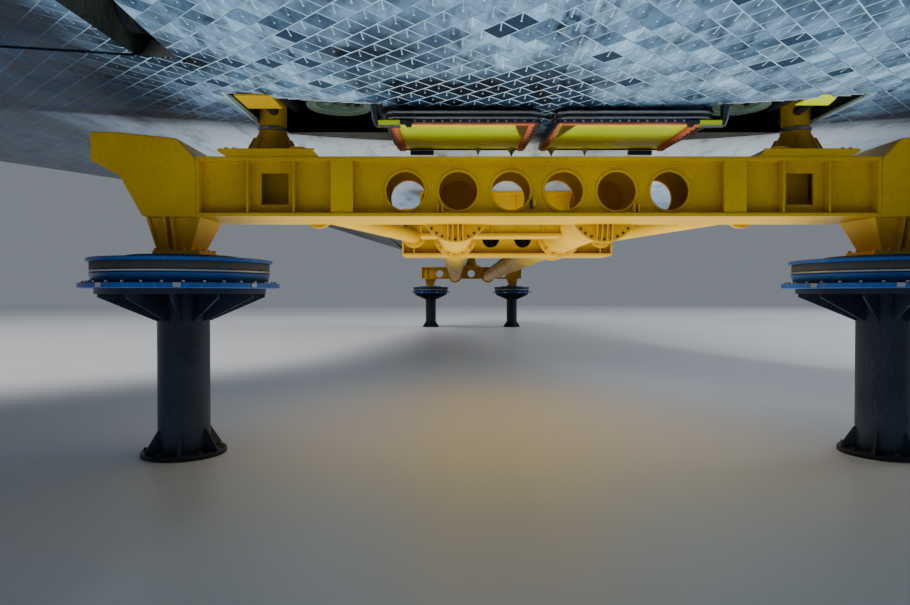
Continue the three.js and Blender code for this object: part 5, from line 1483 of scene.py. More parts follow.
def make_pods():
    stations = [1311, 1312, 1314, 1317, 1321, 1325, *spread(1330, 1516, 7), 1519, 1521.5, 1523.4, 1524]
    rings = [pod_ring(s) for s in stations]
    for k, inset in ((-1, 0.05), (-2, 0.018), (-3, 0.005)):
        centre = sum(rings[k], Vector()) / len(rings[k])
        rings[k] = [p + (centre - p) * inset for p in rings[k]]
    nose = sum(rings[0], Vector()) / len(rings[0])
    rings[0] = [nose + (p - nose) * 0.55 + Vector((0, -0.004, 0)) for p in rings[0]]
    points, faces, marks = loft(rings, mark=lambda r, i: 0 if i >= 0 else 1)
    mesh = mesh_from("pod_skin", points, faces, [WHITE_TILE, DARK_TILE], marks)
    bay = join_meshes("pod_bay", [rod(at(1500, 88, 490), at(1540, 88, 490), 21 * INCH, 64)], [SOOT])
    mesh = carved(mesh, bay)
    upper = engine_room("collar_room", 48.6, 36, 64, ENGINES["upper"], DARK_TILE)
    mesh = carved(mesh, upper)
    centre, size = at(*POD_ENGINE[0]), POD_SCALE * INCH
    x, y, low, high = centre.x, centre.y, centre.z - 4 * size, centre.z + 4 * size
    ears = []
    for k in (-1, 1):
        x0, x1 = sorted((x + k * (6 * size + 0.0003), x + k * 8 * size))
        ears.append(block(x0, x1, y - 4 * size, y + 0.35, low, high))
    ears.append(block(x - 7 * size, x + 7 * size, y + 8 * size, y + 0.35, low, high))
    thrusters = []
    for station, water in ((1496, 512), (1508, 512), (1496, 500), (1508, 500)):
        side, level, wide, high = POD_ROWS(station)
        height = (water - level) / high
        reach = side + wide * math.sqrt(1 - height**2)
        normal = Vector((math.sqrt(1 - height**2) / wide, 0, height / high)).normalized()
        port(thrusters, at(station, reach, water), normal, 0.1, 0.07)
    for station in (1496, 1508):
        side, level, wide, high = POD_ROWS(station)
        for turn in (78, 92):
            t = math.radians(turn)
            point = at(station, side + wide * math.cos(t), level + high * math.sin(t))
            normal = Vector((math.cos(t) / wide, 0, math.sin(t) / high)).normalized()
            port(thrusters, point, normal, 0.1, 0.07)
    for side, water in ((112, 505), (116, 492), (108, 518)):
        port(thrusters, at(1523.8, side, water), AFT, 0.1, 0.06)
    mouths = join_meshes("pod_mouths", thrusters, [CARBON, RUBBER])
    ear_mesh = join_meshes("pod_ears", ears, [DARK_METAL])
    axis = axis_of(*POD_ENGINE[1:])
    curve = smooth_rows([(70, 13), (84, 19), (112, 35), (140, 44.5), (168, 50)])
    outside = [(0.01, 9), (22, 9), (24, 12), (24, 38), (20, 44), (13, 56), (13, 70)]
    outside += [(curve(d)[0], d) for d in spread(72, 166, 4)] + [(50.6, 166.4), (50.6, 168), (48.6, 168)]
    inside = [(curve(d)[0] - 1.6, d) for d in reversed(spread(80, 166, 6))] + [(0.01, 76)]
    engine_parts = [turned(scaled(outside, size), centre, axis, 72, 0)]
    engine_parts.append(turned(scaled([(48.6, 168)] + inside, size), centre, axis, 72, 1))
    engine_parts += engine_ears(centre, POD_SCALE, 2)
    engine_mesh = join_meshes("pod_engine", engine_parts, [BELL_METAL, SOOT, DARK_METAL])
    cross_mesh = join_meshes("pod_cross", cross_parts(centre, POD_SCALE), [STEEL])
    add_pairs(
        ("pod_skin_{}", mesh, "white_tiles", "", "pod_{}"),
        ("pod_thrusters_{}", mouths, "black_tiles", "", ""),
        ("pod_ears_{}", ear_mesh, "alloy", "", ""),
        ("pod_engine_{}_nozzle", engine_mesh, "alloy", "pod_engine_{}", "pod_engine_{}"),
        ("pod_gimbal_{}_cross", cross_mesh, "alloy", "pod_gimbal_{}", "pod_gimbal_{}"),
    )


FLAP_HINGE, FLAP_LEVEL, FLAP_TAIL, FLAP_RADIUS = 1531, 288, 1612, 6


def make_body_flap():
    rings = []
    sides = [-126, -125.8, -125, *spread(-120, 120, 24), 125, 125.8, 126]
    for k, side in enumerate(sides):
        inset = (0.5, 0.15, 0)[min(k, len(sides) - 1 - k, 2)]
        ring = []
        for i in range(25):
            turn = math.pi * i / 24
            r = FLAP_RADIUS - inset
            ring.append((FLAP_HINGE - r * math.sin(turn), FLAP_LEVEL - r * math.cos(turn)))
        chord, top, low = FLAP_TAIL - FLAP_HINGE, FLAP_RADIUS - inset, 1.5
        ring += [(FLAP_HINGE + chord * i / 8, FLAP_LEVEL + top * (1 - i / 8)) for i in range(1, 9)]
        ring.append((FLAP_TAIL - inset, FLAP_LEVEL - low))
        ring += [(FLAP_TAIL - chord * i / 7, FLAP_LEVEL - low + (low - top) * i / 7) for i in range(1, 7)]
        rings.append([at(s, side, w) for s, w in ring])
    points, faces, marks = loft(rings, mark=lambda r, i: 1 if 25 <= i < 32 else 0)
    mesh = mesh_from("body_flap_skin", points, faces, [DARK_TILE, WHITE_TILE], marks)
    for side in (-96, 96):
        slot = body_block(1520, 1539, side - 2.3, side + 2.3, 276, 300)
        mesh = carved(mesh, join_meshes("flap_slot", [slot], [DARK_METAL]))
    new_piece("body_flap_panel", mesh, "body_flap", ["body_flap"])
    pins = []
    for side in (-96, 96):
        for k in (-1, 1):
            ends = [at(FLAP_HINGE, side + k * out, FLAP_LEVEL) for out in (2.02, 4)]
            pins.append(rod(*ends, 2 * INCH, 24))
    new_piece("body_flap_pins", join_meshes("flap_pins", pins, [STEEL]), "body_flap")


# Fin
FIN_BASE, FIN_TOP = 500, 816
RUDDER_FOOT, RUDDER_TOP = 566, 806
FIN_STEPS = 26


def fin_leading(water):
    return 1308 + 0.949 * (water - FIN_BASE)


def fin_trailing(water):
    return 1702 - 0.4936 * (FIN_TOP - water)


def rudder_hinge(water):
    return 1486 + 0.69 * (water - RUDDER_FOOT)


def fin_half(water):
    return 13 - 7 * (water - FIN_BASE) / (FIN_TOP - FIN_BASE)


def hinge_half(water):
    return 7 - 3.6 * (water - FIN_BASE) / (FIN_TOP - FIN_BASE)


def fin_ring(water):
    leading, half = fin_leading(water), fin_half(water)
    chord = rudder_hinge(water) - leading
    end = rudder_hinge(water) - (hinge_half(water) + 0.6) * 1.22
    reach = (end - leading) / chord
    rows = [(0, 0), (0.012, 0.22), (0.06, 0.45), (0.25, 0.85), (0.55, 1), (reach, hinge_half(water) / half)]
    shape = smooth_rows(rows)
    right = []
    for i in range(FIN_STEPS + 1):
        t = reach * (i / FIN_STEPS) ** 2
        right.append((leading + chord * t, half * (0.46 * math.sqrt(t / 0.06) if t < 0.06 else shape(t)[0])))
    right[0] = (leading, 0.0)
    left = [(s, -b) for s, b in reversed(right[1:])]
    return [at(s, b, water) for s, b in right + left]


def fin_tail_ring(water, end_half):
    front = (rudder_hinge(water) - 25, hinge_half(water) * 0.8)
    back = (fin_trailing(water), end_half)
    right = [[f + (b - f) * t for f, b in zip(front, back)] for t in (0, 0.3, 0.7, 1)]
    return [at(s, b, water) for s, b in right + [(s, -b) for s, b in reversed(right)]]


FIN_FOOT = [(1478, 470), (1486, 511), (1528, 538), (1562, 566), (1640, 566), (1640, 470)]


def make_fin():
    waters = [FIN_BASE - 4, *spread(506, RUDDER_TOP, 15), 811, 814, FIN_TOP - 0.4, FIN_TOP]
    rings = [fin_ring(w) for w in waters]
    centre = sum(rings[-1], Vector()) / len(rings[-1])
    rings[-1] = [p + (centre - p) * 0.02 for p in rings[-1]]
    points, faces, marks = loft(rings, mark=lambda r, i: 1 if (0 <= i < 6 or i >= 46) else 0)
    main = mesh_from("fin_skin", points, faces, [WHITE_TILE, BLANKET], marks)
    foot = side_prism("fin_foot_cut", FIN_FOOT, 20, DARK_TILE)
    main = carved(main, foot)
    tail = loft([fin_tail_ring(RUDDER_FOOT - 70, 3), fin_tail_ring(RUDDER_FOOT - 2, 2)])
    tail = carved(mesh_from("fin_tail", tail[0], tail[1], [WHITE_TILE]), foot)
    cap = loft([fin_tail_ring(RUDDER_TOP + 1.2, 1), fin_tail_ring(815.7, 0.8)])
    cap = mesh_from("fin_cap", cap[0], cap[1], [WHITE_TILE])
    new_piece("fin_skin_shell", main, ROOT, ["fin"])
    new_piece("fin_tail_block", tail, ROOT)
    new_piece("fin_tip_block", cap, ROOT)


def make_rudders():
    shaft = rod(at(rudder_hinge(565.4), 0, 565.4), at(rudder_hinge(805.8), 0, 805.8), 2.15 * INCH, 32)
    mesh = join_meshes("shaft", [shaft], [STEEL])
    new_piece("rudder_shaft_bar", mesh, "rudder_shaft", ["rudder_shaft"])
    rings, seams = [], []
    for k in range(1, 8):
        middle = RUDDER_FOOT + (RUDDER_TOP - RUDDER_FOOT) * k / 8
        seams += [(middle - 0.5, 0.0), (middle - 0.2, 0.14), (middle + 0.2, 0.14), (middle + 0.5, 0.0)]
    for water, sink in [(RUDDER_FOOT, 0.0), *seams, (RUDDER_TOP - 1.8, 0.0)]:
        hinge, radius, tail = rudder_hinge(water), hinge_half(water), fin_trailing(water)
        ring = []
        for i in range(9):
            turn = math.radians(130 - 5 * i)
            ring.append((hinge + radius * math.cos(turn), (radius - sink) * math.sin(turn)))
        for i in range(1, 13):
            t = i / 12
            ring.append((hinge + (tail - hinge) * t, radius + (1 - radius) * t - sink))
        ring += [(tail, 0.2), (hinge + 2.4, 0.2), (hinge + 2.2, 1.0), (hinge + 1.2, 2.3), (hinge, 2.6)]
        ring += [(hinge - 1.2, 2.3), (hinge - 2.1, 2.4)]
        rings.append([at(s, b, water) for s, b in ring])
    points, faces, marks = loft(rings, mark=lambda r, i: 0 if 0 <= i < 20 else 1)
    mesh = mesh_from("rudder_skin", points, faces, [WHITE_TILE, DARK_METAL], marks)
    add_pairs(("rudder_panel_{}", mesh, "white_tiles", "rudder_{}", "rudder_{}"))


# Wells and doors over the carrying points
DOOR_LOW, DOOR_HIGH = z_of(262), z_of(265.5)
DOOR_INNER, DOOR_OUTER = 2.5 * INCH, 51.2 * INCH
DOOR_AFT, DOOR_AHEAD = y_of(1355.5), y_of(1306.5)
DOOR_FACE = DOOR_HIGH - 0.022
DOOR_WALL = 0.02
DOOR_MARKS = {"lining": 0, "felt": 1, "dark": 2, "steel": 3}


def door_rim():
    """Rim of an open door: deep along its aft and end edges, low along its forward edge."""
    x0, x1, aft, ahead, wall = DOOR_INNER, DOOR_OUTER, DOOR_AFT, DOOR_AHEAD, DOOR_WALL
    outer = rounded_outline([(x0, aft), (x1, aft), (x1, ahead), (x0, ahead)], 0.05, 6)
    left, right, back, front = x0 + wall, x1 - wall, aft + wall, ahead - wall
    inner = rounded_outline([(left, back), (right, back), (right, front), (left, front)], 0.035, 6)

    def lip(loop):
        return [Vector((x, y, DOOR_LOW + (0.055 if y > ahead - 0.06 else 0.0))) for x, y in loop]

    level = lambda loop, z: [Vector((x, y, z)) for x, y in loop]
    rings = [level(outer, DOOR_HIGH), lip(outer), lip(inner), level(inner, DOOR_FACE)]
    return loft(rings, mark=lambda r, i: DOOR_MARKS["dark"] if i >= 0 or r == 0 else DOOR_MARKS["lining"])


def door_felt():
    """Orange felt strips along the ends and under the aft rim, held by rows of screws."""
    felt, dark = DOOR_MARKS["felt"], DOOR_MARKS["dark"]
    aft, ahead = DOOR_AFT + DOOR_WALL, DOOR_AHEAD - DOOR_WALL
    low, high = DOOR_FACE - 0.03, DOOR_FACE + 0.002
    parts = []
    for edge, step, wide in ((DOOR_INNER + DOOR_WALL, 1, 0.05), (DOOR_OUTER - DOOR_WALL, -1, 0.06)):
        a, b = sorted((edge, edge + step * wide))
        parts.append(block(a, b, aft + 0.02, ahead - 0.02, low, high, felt))
        for k in range(11):
            head = Vector(((a + b) / 2 - step * 0.015, aft + 0.07 + k * (ahead - aft - 0.16) / 10, low))
            parts.append(rod(head, head - UP * 0.007, 0.008, 8, dark))
    x0, x1, y0, y1 = DOOR_INNER + 0.05, DOOR_OUTER - 0.2, DOOR_AFT + 0.001, aft + 0.012
    parts.append(block(x0, x1, y0, y1, DOOR_LOW - 0.014, DOOR_LOW + 0.004, felt))
    return parts


def door_rails():
    """Twin round rails along the aft rim, turned forward at both ends, with bolts between them."""
    x0, x1, aft, steel = DOOR_INNER, DOOR_OUTER, DOOR_AFT, DOOR_MARKS["steel"]
    parts = []
    for z, out, size in ((DOOR_LOW + 0.034, 0.014, 0.01), (DOOR_LOW + 0.076, 0.02, 0.013)):
        path = [Vector((x0 + 0.03, aft + 0.2, z)), Vector((x0 - out * 0.2, aft + 0.1, z))]
        path += [Vector((x0 + 0.015, aft + 0.02, z)), Vector((x0 + 0.08, aft - out, z))]
        path += [Vector((x1 - 0.08, aft - out, z)), Vector((x1 - 0.015, aft + 0.02, z))]
        path += [Vector((x1 + out * 0.2, aft + 0.1, z)), Vector((x1 - 0.02, aft + 0.2, z))]
        parts.append(tube_along(path, size, 12, steel))
    wide, y = x1 - x0, aft + 0.002
    bolts = [Vector((x0 + 0.09 + k * (wide - 0.18) / 15, y, DOOR_LOW + 0.055)) for k in range(16)]
    parts.append(bolt_heads(bolts, AFT, 0.011, 0.012, DOOR_MARKS["dark"]))
    studs = [Vector((x0 + 0.06 + k * (wide - 0.3) / 13, y, DOOR_LOW + 0.012)) for k in range(14)]
    parts.append(bolt_heads(studs, AFT, 0.009, 0.01, steel))
    return parts


def door_fittings():
    """Hinge strap, latch bar and hook at the outer aft corner, corner gusset, and the pointed pins."""
    aft, ahead = DOOR_AFT, DOOR_AHEAD
    lining, dark, steel = DOOR_MARKS["lining"], DOOR_MARKS["dark"], DOOR_MARKS["steel"]
    strap = [(1.352, 2.985), (1.40, 2.985), (1.385, 2.87), (1.362, 2.812), (1.345, 2.818), (1.352, 2.88)]
    parts = [prism(strap, "y", aft + y0, aft + y1, dark) for y0, y1 in ((-0.05, -0.028), (-0.012, 0.008))]
    bead = [Vector((x, aft - 0.05, z)) for x, z in ((1.402, 2.98), (1.387, 2.87), (1.363, 2.812))]
    parts.append(tube_along(bead, 0.006, 8, steel))
    parts.append(soft_box(1.175, 1.35, aft - 0.045, aft - 0.006, 2.818, 2.862, 0.004, lining))
    parts.append(soft_box(1.17, 1.36, aft - 0.05, aft - 0.004, 2.808, 2.819, 0.003, steel))
    hook = [(1.175, 2.862), (1.085, 2.858), (1.085, 2.815), (1.125, 2.812), (1.135, 2.832), (1.175, 2.835)]
    parts.append(prism(hook, "y", aft - 0.035, aft, dark))
    gusset = [(0.147, -9.62), (0.252, -9.62), (0.165, -9.2), (0.147, -9.2)]
    parts.append(prism(gusset, "z", DOOR_FACE - 0.038, DOOR_FACE - 0.03, steel))
    for x, radius, tip in ((0.194, 0.03, 2.845), (0.52, 0.02, 2.85)):
        top = Vector((x, ahead - 0.03, DOOR_LOW + 0.062))
        parts.append(rod(top, Vector((x, ahead - 0.03, DOOR_LOW + 0.04)), radius + 0.006, 20, steel))
        parts.append(rod(top - UP * 0.02, Vector((x, ahead - 0.03, tip)), radius, 20, steel, 0.003))
    x0, x1, low = DOOR_OUTER - 0.35, DOOR_OUTER - 0.12, DOOR_LOW
    parts.append(block(x0, x1, ahead - 0.02, ahead + 0.02, low + 0.01, low + 0.05, dark))
    for station in (1316, 1348):
        axis = [at(s, 52, 266.25) for s in (station - 4, station)]
        parts.append(rod(*axis, 0.6 * INCH, 20, dark, bevel=0.002))
        parts.append(body_block(station - 3.9, station - 0.1, 48.5, 52, 264.65, 266.55, dark))
    return parts


def make_umbilical_doors():
    """Each door lies open under the belly, its lined face down inside a rim."""
    parts = [door_rim(), *door_felt(), *door_rails(), *door_fittings()]
    mesh = join_meshes("umbilical_door", parts, [PRIMER, FELT, DARK_METAL, STEEL])
    add_pairs(("umbilical_door_tray_{}", mesh, "primer", "", "umbilical_door_{}"))


def disconnect_parts(centre, green, dark, steel):
    """Round plate in the roof of a well, with a raised rim and the couplings that stood on it."""
    down = -UP
    profile = [(0.3, 0.0), (0.3, 0.215), (0.293, 0.233), (0.258, 0.233), (0.25, 0.22), (0.215, 0.215)]
    parts = [turned([*profile, (0.205, 0.16), (0.0, 0.16)], centre, down, 64, green)]
    tip = centre + down * 0.16
    hub = tip + Vector((0.02, 0, 0))
    parts.append(rod(hub, hub + down * 0.035, 0.1, 40, dark, bevel=0.008))
    parts.append(rod(hub + down * 0.03, hub + down * 0.048, 0.045, 32, steel, bevel=0.006))
    couplings = ((-0.13, 0.03, 0.032, green), (-0.12, -0.07, 0.026, steel), (0.02, 0.15, 0.03, green))
    for dx, dy, radius, mark in (*couplings, (0.14, 0.09, 0.024, dark), (0.13, -0.1, 0.03, green)):
        base = tip + Vector((dx, dy, 0))
        parts.append(rod(base, base + down * 0.04, radius, 20, mark, bevel=0.004))
    parts.append(bolt_heads(on_circle(centre + down * 0.232, down, 0.276, 24), down, 0.009, 0.01, steel))
    return parts


def strip_along(start, end, wide, z0, z1, mark):
    """A four-sided bar between two points of a plan."""
    along_it = (end - start).normalized()
    off = Vector((-along_it.y, along_it.x, 0)) * wide / 2
    corners = ((off, z0), (-off, z0), (-off, z1), (off, z1))
    ends = [[Vector(((c + o).x, (c + o).y, z)) for o, z in corners] for c in (start, end)]
    return with_mark(loft(ends), mark)


def make_well_lining(sign, name, panel, panel_material):
    """What shows up inside a well: disconnect plate, pipes, edge strips and a painted panel."""
    x = lambda side: sign * side * INCH
    green, dark, steel, panel_mark, lip, lining = range(6)
    roof = z_of(WELL_ROOF)
    parts = disconnect_parts(Vector((x(70), y_of(1327), 3.415)), green, dark, steel)
    y0, y1 = y_of(1354), y_of(1308)
    for side, z, radius in ((95, 3.2, 0.04), (90, 3.3, 0.05), (56, 3.2, 0.04)):
        path = []
        for k in range(13):
            y = y0 + 0.02 + (y1 - y0 - 0.04) * k / 12
            path.append(Vector((x(side), y, z + 0.02 * math.sin(k * 0.4 + side))))
        parts.append(tube_along(path, radius, 16, dark))
    for k in range(5):
        y = y1 - 0.14 - k * 0.24
        parts.append(block(*sorted((x(53), x(101))), y - 0.012, y + 0.012, roof - 0.07, roof + 0.005, dark))
    parts.append(prism([(sign * px, py) for px, py in panel], "z", 3.05, 3.062, panel_mark))
    end_wall = [*sorted((x(52.1), x(101.9))), y_of(1306.9), y_of(1306.2)]
    parts.append(block(*end_wall, z_of(belly_water(101) - 0.3), roof, lining))
    inner_wall = sorted((x(52.05), x(52.5)))
    parts.append(block(*inner_wall, y0, y1, z_of(268.4), roof, lining))
    aft, ahead = y_of(1355.6), y_of(1306.4)
    edge = lambda side: z_of(belly_water(side))
    outer_line = Vector((x(101.7), aft, 0)), Vector((x(101.7), ahead, 0))
    parts.append(strip_along(*outer_line, 0.012, edge(101) - 0.004, edge(101) + 0.03, lip))
    inner_line = Vector((sign * 2.548, aft + 0.12, 0)), Vector((sign * 2.548, ahead - 0.45, 0))
    parts.append(strip_along(*inner_line, 0.014, 3.085, 3.1, green))
    for k in range(12):
        near_side, far_side = 52.3 + 49.4 * k / 12, 52.3 + 49.4 * (k + 1) / 12
        z = edge((near_side + far_side) / 2)
        ends = [Vector((x(side), aft, 0)) for side in (near_side, far_side)]
        parts.append(strip_along(*ends, 0.012, z - 0.003, z + 0.03, lip))
    for station in (1316, 1348):
        axis = [at(s, sign * 52, 266.25) for s in (station + 0.1, station + 4)]
        parts.append(rod(*axis, 0.6 * INCH, 20, dark, bevel=0.002))
        ear = (station + 0.2, station + 3.9, sign * 50.5, sign * 52)
        parts.append(body_block(*ear, 265.95, 268.5, dark))
    materials = [GREEN_PRIMER, DARK_METAL, STEEL, panel_material, EDGE_PAINT, WELL_DARK]
    new_piece("umbilical_well_lining_" + name, join_meshes("well_lining", parts, materials), ROOT)


RIGHT_WELL_PANEL = [(2.051, -9.601), (2.323, -9.601), (2.277, -9.793), (2.173, -9.885), (2.078, -9.879)]
LEFT_WELL_PANEL = [(2.472, -9.508), (2.472, -9.865), (2.188, -9.865), (2.188, -9.508)]


# Carrying frame
TOUCH = 0.0003  # the gap between pieces of the frame that rest on each other
BEAM_TOP, BEAM_BOTTOM, BEAM_DEPTH = 2.72, 2.19, 0.7
SECOND_Y = ATTACH_Y + 3.5
FLANGE, WEB, WEB_INSET = 0.032, 0.025, 0.11
HOLE_HEIGHT, HOLE_RADIUS, HOLE_STEP = 2.43, 0.176, 0.477
TUBE_SIDE, TUBE_HEIGHT, TUBE_RADIUS = 0.74, 2.32, 0.24
BRACE_SIDE, BRACE_HEIGHT = 1.33, 2.32


def plate(outline, holes, start, end):
    """A flat plate with holes across y: outline and holes are loops of (x, z)."""
    loops = [[Vector((u, v, 0)) for u, v in loop] for loop in [outline, *holes]]
    triangles = tessellate_polygon(loops)
    flat = [(p.x, p.y) for loop in loops for p in loop]
    points = [Vector((u, y, v)) for y in (start, end) for u, v in flat]
    count = len(flat)
    faces = [tuple(t) for t in triangles] + [tuple(i + count for i in reversed(t)) for t in triangles]
    first = 0
    for loop in loops:
        size = len(loop)
        for i in range(size):
            a, b = first + i, first + (i + 1) % size
            faces.append((a, b, b + count, a + count))
        first += size
    return points, faces, [0] * len(faces)


def circle(u, v, radius):
    return [(u + radius * math.cos(t), v + radius * math.sin(t)) for t in turns(56)]


def soft_box(x0, x1, y0, y1, z0, z1, width=0.004, mark=0):
    """A box with narrow chamfers, ready to join."""
    points, faces, _ = block(x0, x1, y0, y1, z0, z1)
    shape = bmesh.new()
    verts = [shape.verts.new(p) for p in points]
    for face in faces:
        shape.faces.new([verts[i] for i in face])
    bmesh.ops.recalc_face_normals(shape, faces=shape.faces)
    bmesh.ops.bevel(shape, geom=list(shape.edges), offset=width, segments=2, affect="EDGES")
    shape.verts.index_update()
    points = [v.co.copy() for v in shape.verts]
    faces = [tuple(v.index for v in f.verts) for f in shape.faces]
    shape.free()
    return points, faces, [mark] * len(faces)


def hole_rim(u, height, radius, face, outward):
    """Raised ring round a hole in a web."""
    ring = [(radius - 0.004, -0.008), (radius + 0.022, -0.008), (radius + 0.022, 0.006)]
    ring += [(radius + 0.018, 0.01), (radius - 0.001, 0.01), (radius - 0.004, 0.006)]
    return turned(ring, Vector((u, face, height)), Vector((0, outward, 0)), 56, 0, closed=True)


def beam_parts(y, half, holes, bottom=BEAM_BOTTOM, windows=(), ribs=(), straps=()):
    """A box beam: flanges, holed webs, closing ends, and what stiffens its near and far faces."""
    near, far, low, high = y - BEAM_DEPTH / 2, y + BEAM_DEPTH / 2, bottom + FLANGE, BEAM_TOP - FLANGE
    parts = [
        soft_box(-half, half, near, far, high, BEAM_TOP),
        soft_box(-half, half, near, far, bottom, low),
    ]
    foot, head = bottom + 0.01, BEAM_TOP - 0.01
    outline = [(-half, foot), (half, foot), (half, head), (-half, head)]
    cuts = [circle(*hole) for hole in holes]
    for u in windows:
        square = [(u - 0.123, 2.307), (u + 0.123, 2.307), (u + 0.123, 2.591), (u - 0.123, 2.591)]
        cuts.append(rounded_outline(square, 0.008, 3))
        parts.append(soft_box(u - 0.2, u + 0.2, y - 0.01, y + 0.01, low - 0.002, high + 0.002, 0.002, 0))
    for start, outward in ((near + WEB_INSET, -1), (far - WEB_INSET - WEB, 1)):
        parts.append(plate(outline, cuts, start, start + WEB))
        face = start if outward < 0 else start + WEB
        parts += [hole_rim(*hole, face, outward) for hole in holes]
        edge = near + 0.012 if outward < 0 else far - 0.012
        y0, y1 = sorted((face, edge))
        for u in ribs:
            parts.append(soft_box(u - 0.008, u + 0.008, y0, y1, low - 0.002, high + 0.002, 0.002))
        for u in straps:
            front, back = (y0, y0 + 0.025) if outward < 0 else (y1 - 0.025, y1)
            parts.append(soft_box(u - 0.1, u + 0.1, front, back, low - 0.002, high + 0.002, 0.003))
            for edge_u in (u - 0.08, u + 0.08):
                parts.append(soft_box(edge_u - 0.008, edge_u + 0.008, y0 + 0.01, y1 - 0.01, low, high, 0.002))
    for u in (-half, half - WEB):
        parts.append(soft_box(u, u + WEB, near + 0.004, far - 0.004, bottom + 0.005, BEAM_TOP - 0.005, 0.003))
    for bead_y in (near + WEB_INSET - 0.004, far - WEB_INSET + 0.004):
        for z in (low + 0.003, high - 0.003):
            path = [Vector((-half + 0.02 + (2 * half - 0.04) * k / 60, bead_y, z)) for k in range(61)]
            parts.append(tube_along(path, 0.007, 8))
    return parts


def leg_plate(x, y, foot, top):
    """An upright plate of a leg, as its span across and fore-and-aft at the foot and at the top."""
    rows = []
    for z, (u0, u1, v0, v1) in ((1.892, foot), (BEAM_BOTTOM + 0.002, top)):
        corners = ((u0, v0), (u1, v0), (u1, v1), (u0, v1))
        rows.append([Vector((x + u, y + v, z)) for u, v in corners])
    return loft(rows)


def leg_parts(x, y, inward=-1):
    """A tapering leg of plates between the beam and the isolator, on a bolted foot."""
    parts = [soft_box(x - 0.215, x + 0.215, y - 0.215, y + 0.215, 1.8506, 1.895, 0.004)]
    inner, outer, ribs = (0.107, 0.235), (-0.178, -0.232), (-0.007, -0.07)
    for near, far in ((-0.16, -0.235), (0.135, 0.21)):
        ends = [(inward * i, inward * o, v, v + 0.025) for i, o, v in zip(inner, outer, (near, far))]
        parts.append(leg_plate(x, y, *ends))
        step = math.copysign(0.06, near)
        for rib in ribs:
            u = inward * rib
            ends = [(u - 0.009, u + 0.009, v + 0.01, v + step) for v in (near, far)]
            parts.append(leg_plate(x, y, *ends))
    for side in (inner, outer):
        ends = [(inward * u - 0.012, inward * u + 0.012, -v, v) for u, v in zip(side, (0.17, 0.27))]
        parts.append(leg_plate(x, y, *ends))
    bolts = []
    for u in (-0.19, -0.065, 0.065, 0.19):
        for v in (-0.195, 0.195):
            bolts += [Vector((x + u, y + v, 1.895)), Vector((x + v, y + u, 1.895))]
    parts.append(bolt_heads(bolts, UP, 0.018, 0.022))
    return parts


END_BOX = [
    (3.0403, 2.7), (3.21, 2.88), (3.73, 2.935), (3.98, 2.94),
    (3.98, 2.69), (3.72, 2.55), (3.52, 2.19), (3.0403, 2.19),
]


def add_yellow(name, parts, node, second=None):
    """A yellow piece of the frame that stands for one CAD node, with a second material for its marks of 1."""
    mesh = join_meshes(node, parts, [YELLOW, second] if second else [YELLOW])
    new_piece(name, mesh, ROOT, [node])


def make_aft_beam():
    holes = [((n - 2.5) * HOLE_STEP, HOLE_HEIGHT, HOLE_RADIUS) for n in range(6)]
    ribs = (-2.59, -2.18, 2.18, 2.59)
    parts = beam_parts(ATTACH_Y, 3.04, holes, windows=(-2.37, 2.37), ribs=ribs, straps=(-1.75, 1.75))
    near, low = ATTACH_Y - BEAM_DEPTH / 2, BEAM_BOTTOM + FLANGE
    web = near + WEB_INSET
    for x in (0.857, 0.897, -0.897, -0.857):
        parts.append(soft_box(x - 0.006, x + 0.006, near + 0.02, web, low - 0.002, low + 0.085, 0.002))
    parts.append(soft_box(-0.045, -0.012, near + 0.06, web, 2.29, 2.36, 0.003))
    parts.append(soft_box(-0.068, -0.045, near + 0.08, web, 2.27, 2.35, 0.003, 1))
    studs = [Vector((-2.0 + 0.11 * k, near + 0.035, BEAM_TOP - FLANGE)) for k in range(38)]
    parts.append(bolt_heads(studs, -UP, 0.012, 0.008))
    add_yellow("aft_cross_beam", parts, "aft_beam", DARK_METAL)
    mesh = bevelled(join_meshes("end_box", [prism(END_BOX, "y", near, near + BEAM_DEPTH)], [YELLOW]), 0.008)
    legs = join_meshes("leg", leg_parts(3.28, ATTACH_Y), [YELLOW])
    add_pairs(
        ("aft_beam_gusset_{}", mesh, "yellow_paint", "", "aft_beam_end_{}"),
        ("aft_beam_leg_{}", legs, "yellow_paint", "", ""),
    )


